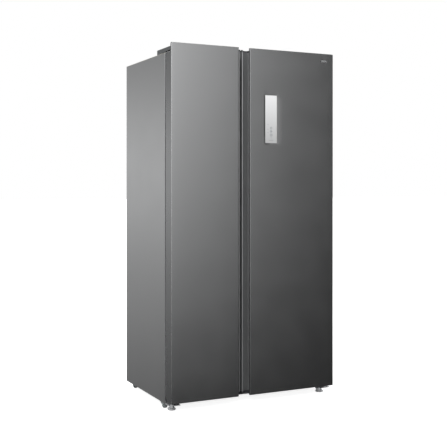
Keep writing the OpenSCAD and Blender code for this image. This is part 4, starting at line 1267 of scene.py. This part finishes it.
# %% Back panel
lo, hi = corners("back_panel")
RIB_DEEP = 5 * MM
RIB_HALF = 11 * MM
RIB_END = 90 * MM
RIB_FADE = 30 * MM
FACE_IN = 1.4 * MM
rib_places = np.linspace(-280, 280, 4) * MM
columns = [np.linspace(lo[0], hi[0], 60)] + [c + np.linspace(-RIB_HALF, RIB_HALF, 11) for c in rib_places]
x = np.clip(np.unique(np.round(np.concatenate(columns), 5)), lo[0], hi[0])
X, Z = np.meshgrid(x, np.linspace(lo[2], hi[2], 150))
from_floor = np.clip((Z - lo[2] - RIB_END) / RIB_FADE, 0, 1)
from_top = np.clip((hi[2] - RIB_END - Z) / RIB_FADE, 0, 1)
fade = np.sin(from_floor * from_top * np.pi / 2) ** 2
depth = np.zeros_like(X)
for centre in rib_places:
    near = np.clip(np.abs(X - centre) / RIB_HALF, 0, 1)
    depth = np.maximum(depth, fade * (1 + np.cos(np.pi * near)) / 2)
Y = hi[1] - FACE_IN - RIB_DEEP * depth
sheet = show("ribbed_back", [(np.stack([X, Y, Z], axis=-1), False, False)], "cabinet", zinc,
    "galvanised_steel", "back_panel", facing=(0, 9, 1))
thicken(sheet, 0.6 * MM)
print("ribbed back made")

# %% [markdown]
# ### Back screws
#
# Domed heads with a round recess, all alike, so one profile is turned at every place in a row. A few
# faces each are enough.

# %% Back screws
EDGE_IN = 12 * MM
heights = np.linspace(lo[2] + 40 * MM, hi[2] - 30 * MM, 9)
spots = [(sign * (hi[0] - EDGE_IN), z) for sign in (-1, 1) for z in heights]
spots += [(x, z) for z in (hi[2] - EDGE_IN, lo[2] + EDGE_IN) for x in np.linspace(-330, 330, 5) * MM]
head = np.array([(0, -0.7), (1.4, -0.7), (1.6, 0), (3.4, -0.2), (4.2, -0.9), (4.4, -1.6), (0, -1.6)]) * MM
heads = [lathe(head, (x, hi[1], z), "y", 16) for x, z in spots]
show("back_screws", heads, "cabinet", bright_steel, "galvanised_steel")
print(len(heads), "back screws made")

# %% [markdown]
# ## Foam
#
# Foam is poured between the skins and sets into one rigid block, so nobody sees it. The cabinet's
# block is a copy of the measured one with its back face set in behind the ribs. Each door gets a
# plain block a little smaller than its skins, which can't show through a bend that was rounded.

# %% Foam
def set_in(node, body, by):
    """A copy of the foam whose back face lies a little deeper, so that the pressed ribs have room."""
    mesh = nodes[node].data.copy()
    mesh.materials.clear()
    places = np.empty(len(mesh.vertices) * 3, np.float32)
    mesh.vertices.foreach_get("co", places)
    places = places.reshape(-1, 3)
    outer = places[:, 1] > places[:, 1].max() - 0.5 * MM
    places[outer, 1] -= by
    mesh.vertices.foreach_set("co", places.ravel())
    return piece(node + "_fill", mesh, body, foam_fill, "insulation_foam", (node,))


set_in("cabinet_foam", "cabinet", 9 * MM)
for side in SIDES:
    near, far = (3 * MM, door_z0 + CAP), (panel_w[side] - GRIP_IN - 6 * MM, door_z1 - CAP)
    ends = at_door(side, [(near[0], 3 * MM, near[1]), (far[0], DOOR_DEEP - 4 * MM, far[1])])
    fill = soft_box(ends.min(axis=0), ends.max(axis=0), 3 * MM, "y", 2 * MM, 4)
    show(side + "_foam_fill", [fill], side + "_door", foam_fill, "insulation_foam", side + "_door_foam")
print("foam made")

# %% [markdown]
# ## Flat faces that look flat
#
# Smooth shading averages the light of neighbouring faces, so a wide flat door beside a small round
# edge would look pillowed. A weighted normal gives the large face the say, and the small arc carries
# the whole turn, as on pressed steel. It comes last, after the walls and the rounded edges.

# %% Weighted normals
for shown in pieces:
    weigh = shown.modifiers.new("flat", "WEIGHTED_NORMAL")
    weigh.keep_sharp = True
    weigh.weight = 80
print(len(pieces), "pieces weighted")

# %% [markdown]
# ## Studio
#
# Metal shows what stands around it, so the studio is part of its finish. The doors see a wall that
# is bright at the upper left and falls away to the right and towards the floor, and the cabinet's
# sides and back see a bright band at eye level. Such a wall could be modelled as cards round the
# object, but a few ramps on the world's direction do it without a mesh. Soft lamps add the diffuse
# light, and the floor and backdrop are plain white.

# %% World
scene = bpy.context.scene
scene.view_settings.view_transform = "Standard"
scene.view_settings.look = "None"
world = bpy.data.worlds.new("studio")
scene.world = world
world.use_nodes = True
tree = world.node_tree
tree.nodes.clear()


def node_of(kind, **settings):
    """A new node of the world's tree with its settings."""
    made = tree.nodes.new(kind)
    for name, value in settings.items():
        setattr(made, name, value)
    return made


def math_of(kind, a, b=None):
    """A Math node on one or two inputs, each a number or another node's output."""
    made = node_of("ShaderNodeMath", operation=kind)
    for socket, value in zip(made.inputs, (a, b)):
        if value is None:
            continue
        if isinstance(value, (int, float)):
            socket.default_value = value
        else:
            tree.links.new(value, socket)
    return made.outputs[0]


def curve_of(source, stops, low, high):
    """A ramp through (position, brightness) stops, where positions run from low to high."""
    spread = node_of("ShaderNodeMapRange")
    spread.inputs["From Min"].default_value = low
    spread.inputs["From Max"].default_value = high
    tree.links.new(source, spread.inputs["Value"])
    ramp = node_of("ShaderNodeValToRGB")
    ramp.color_ramp.interpolation = "EASE"
    elements = ramp.color_ramp.elements
    while len(elements) < len(stops):
        elements.new(0.5)
    for element, (at, value) in zip(elements, stops):
        element.position = (at - low) / (high - low)
        element.color = (value, value, value, 1)
    tree.links.new(spread.outputs["Result"], ramp.inputs["Fac"])
    return ramp.outputs["Color"]


# Brightness at each rise, from -1 straight down to 1 straight up, and at each bearing, in degrees from
# the doors' own direction towards the right.
FRONT_RISE = [(-1, 0.0), (-0.27, 0.0), (-0.22, 0.025), (-0.12, 0.135), (0.0, 0.27), (0.17, 0.38),
    (0.45, 0.50), (1, 0.45)]
FRONT_TURN = [(-180, 0.40), (-110, 0.50), (-60, 0.55), (-15, 0.80), (8, 0.95), (18.5, 0.70), (23.5, 0.40),
    (28, 0.17), (33, 0.03), (42, 0.0), (60, 0.0), (100, 0.12), (180, 0.45)]
BACK_RISE = [(-1, 0.06), (-0.25, 0.07), (-0.12, 0.19), (0.03, 0.43), (0.16, 0.15), (0.4, 0.30), (1, 0.45)]
BEHIND = [(-180, 1), (-110, 1), (-75, 0), (75, 0), (110, 1), (180, 1)]
FRONT_GAIN = 2.25
DEGREES = 57.2958

direction = node_of("ShaderNodeTexCoord").outputs["Generated"]
parts = node_of("ShaderNodeSeparateXYZ")
tree.links.new(direction, parts.inputs["Vector"])
rise = parts.outputs["Z"]
forwards = math_of("MULTIPLY", parts.outputs["Y"], -1)
bearing = math_of("MULTIPLY", math_of("ARCTAN2", parts.outputs["X"], forwards), DEGREES)
front_rise = curve_of(rise, FRONT_RISE, -1, 1)
front_turn = curve_of(bearing, FRONT_TURN, -180, 180)
back_rise = curve_of(rise, BACK_RISE, -1, 1)
behind = curve_of(bearing, BEHIND, -180, 180)
front = math_of("MULTIPLY", math_of("MULTIPLY", front_rise, front_turn), FRONT_GAIN)
mixed = node_of("ShaderNodeMix", data_type="FLOAT")
tree.links.new(behind, mixed.inputs["Factor"])
tree.links.new(front, mixed.inputs["A"])
tree.links.new(back_rise, mixed.inputs["B"])
around = node_of("ShaderNodeBackground")
tree.links.new(mixed.outputs["Result"], around.inputs["Color"])
around.inputs["Strength"].default_value = 2.0
plain = node_of("ShaderNodeBackground")
plain.inputs["Color"].default_value = (1, 1, 1, 1)
seen = node_of("ShaderNodeLightPath")
choose = node_of("ShaderNodeMixShader")
tree.links.new(seen.outputs["Is Camera Ray"], choose.inputs["Fac"])
tree.links.new(around.outputs["Background"], choose.inputs[1])
tree.links.new(plain.outputs["Background"], choose.inputs[2])
output = node_of("ShaderNodeOutputWorld")
tree.links.new(choose.outputs["Shader"], output.inputs["Surface"])
print("world has", len(tree.nodes), "nodes")

# %% [markdown]
# ### Floor and lamps
#
# The floor glows faintly, so that it stays white under the object without a hard shadow, and metal
# doesn't mirror it. The lamps are wide squares, because a small lamp would draw hard edges.

# %% Floor
REACH = 60
floor_mesh = bpy.data.meshes.new("floor")
floor_corners = [(-REACH, -REACH, 0), (REACH, -REACH, 0), (REACH, REACH, 0), (-REACH, REACH, 0)]
floor_mesh.from_pydata(floor_corners, [], [(0, 1, 2, 3)])
floor = bpy.data.objects.new("floor", floor_mesh)
scene.collection.objects.link(floor)
floor_white = finish("floor_white", (0.80, 0.80, 0.80), 0, 0.9,
    wander=0.0, emission_strength=0.86, emission_color=(1, 1, 1, 1))
floor_mesh.materials.append(floor_white)
floor.visible_glossy = False
floor.visible_diffuse = False
print("floor laid")

# %% Lamps
def lamp(name, place, aim, size, power):
    """A square soft lamp that lights without showing in the metal."""
    data = bpy.data.lights.new(name, "AREA")
    data.size = size
    data.energy = power
    made = bpy.data.objects.new(name, data)
    made.location = place
    made.rotation_euler = (Vector(aim) - Vector(place)).to_track_quat("-Z", "Y").to_euler()
    made.visible_glossy = False
    made.visible_camera = False
    scene.collection.objects.link(made)


AIM = (0, 0, 0.9)
lamp("key", (-2.6, -3.2, 3.2), AIM, 2.4, 90)
lamp("fill", (3.2, -2.6, 2.2), AIM, 2.4, 30)
lamp("rim", (1.0, 3.4, 3.0), AIM, 2.0, 50)
print("studio lit")

# %% [markdown]
# ## Finish
#
# The measured box is printed.

# %% Sizes out
print("measured", [[round(v, 4) for v in c] for c in cad_box])
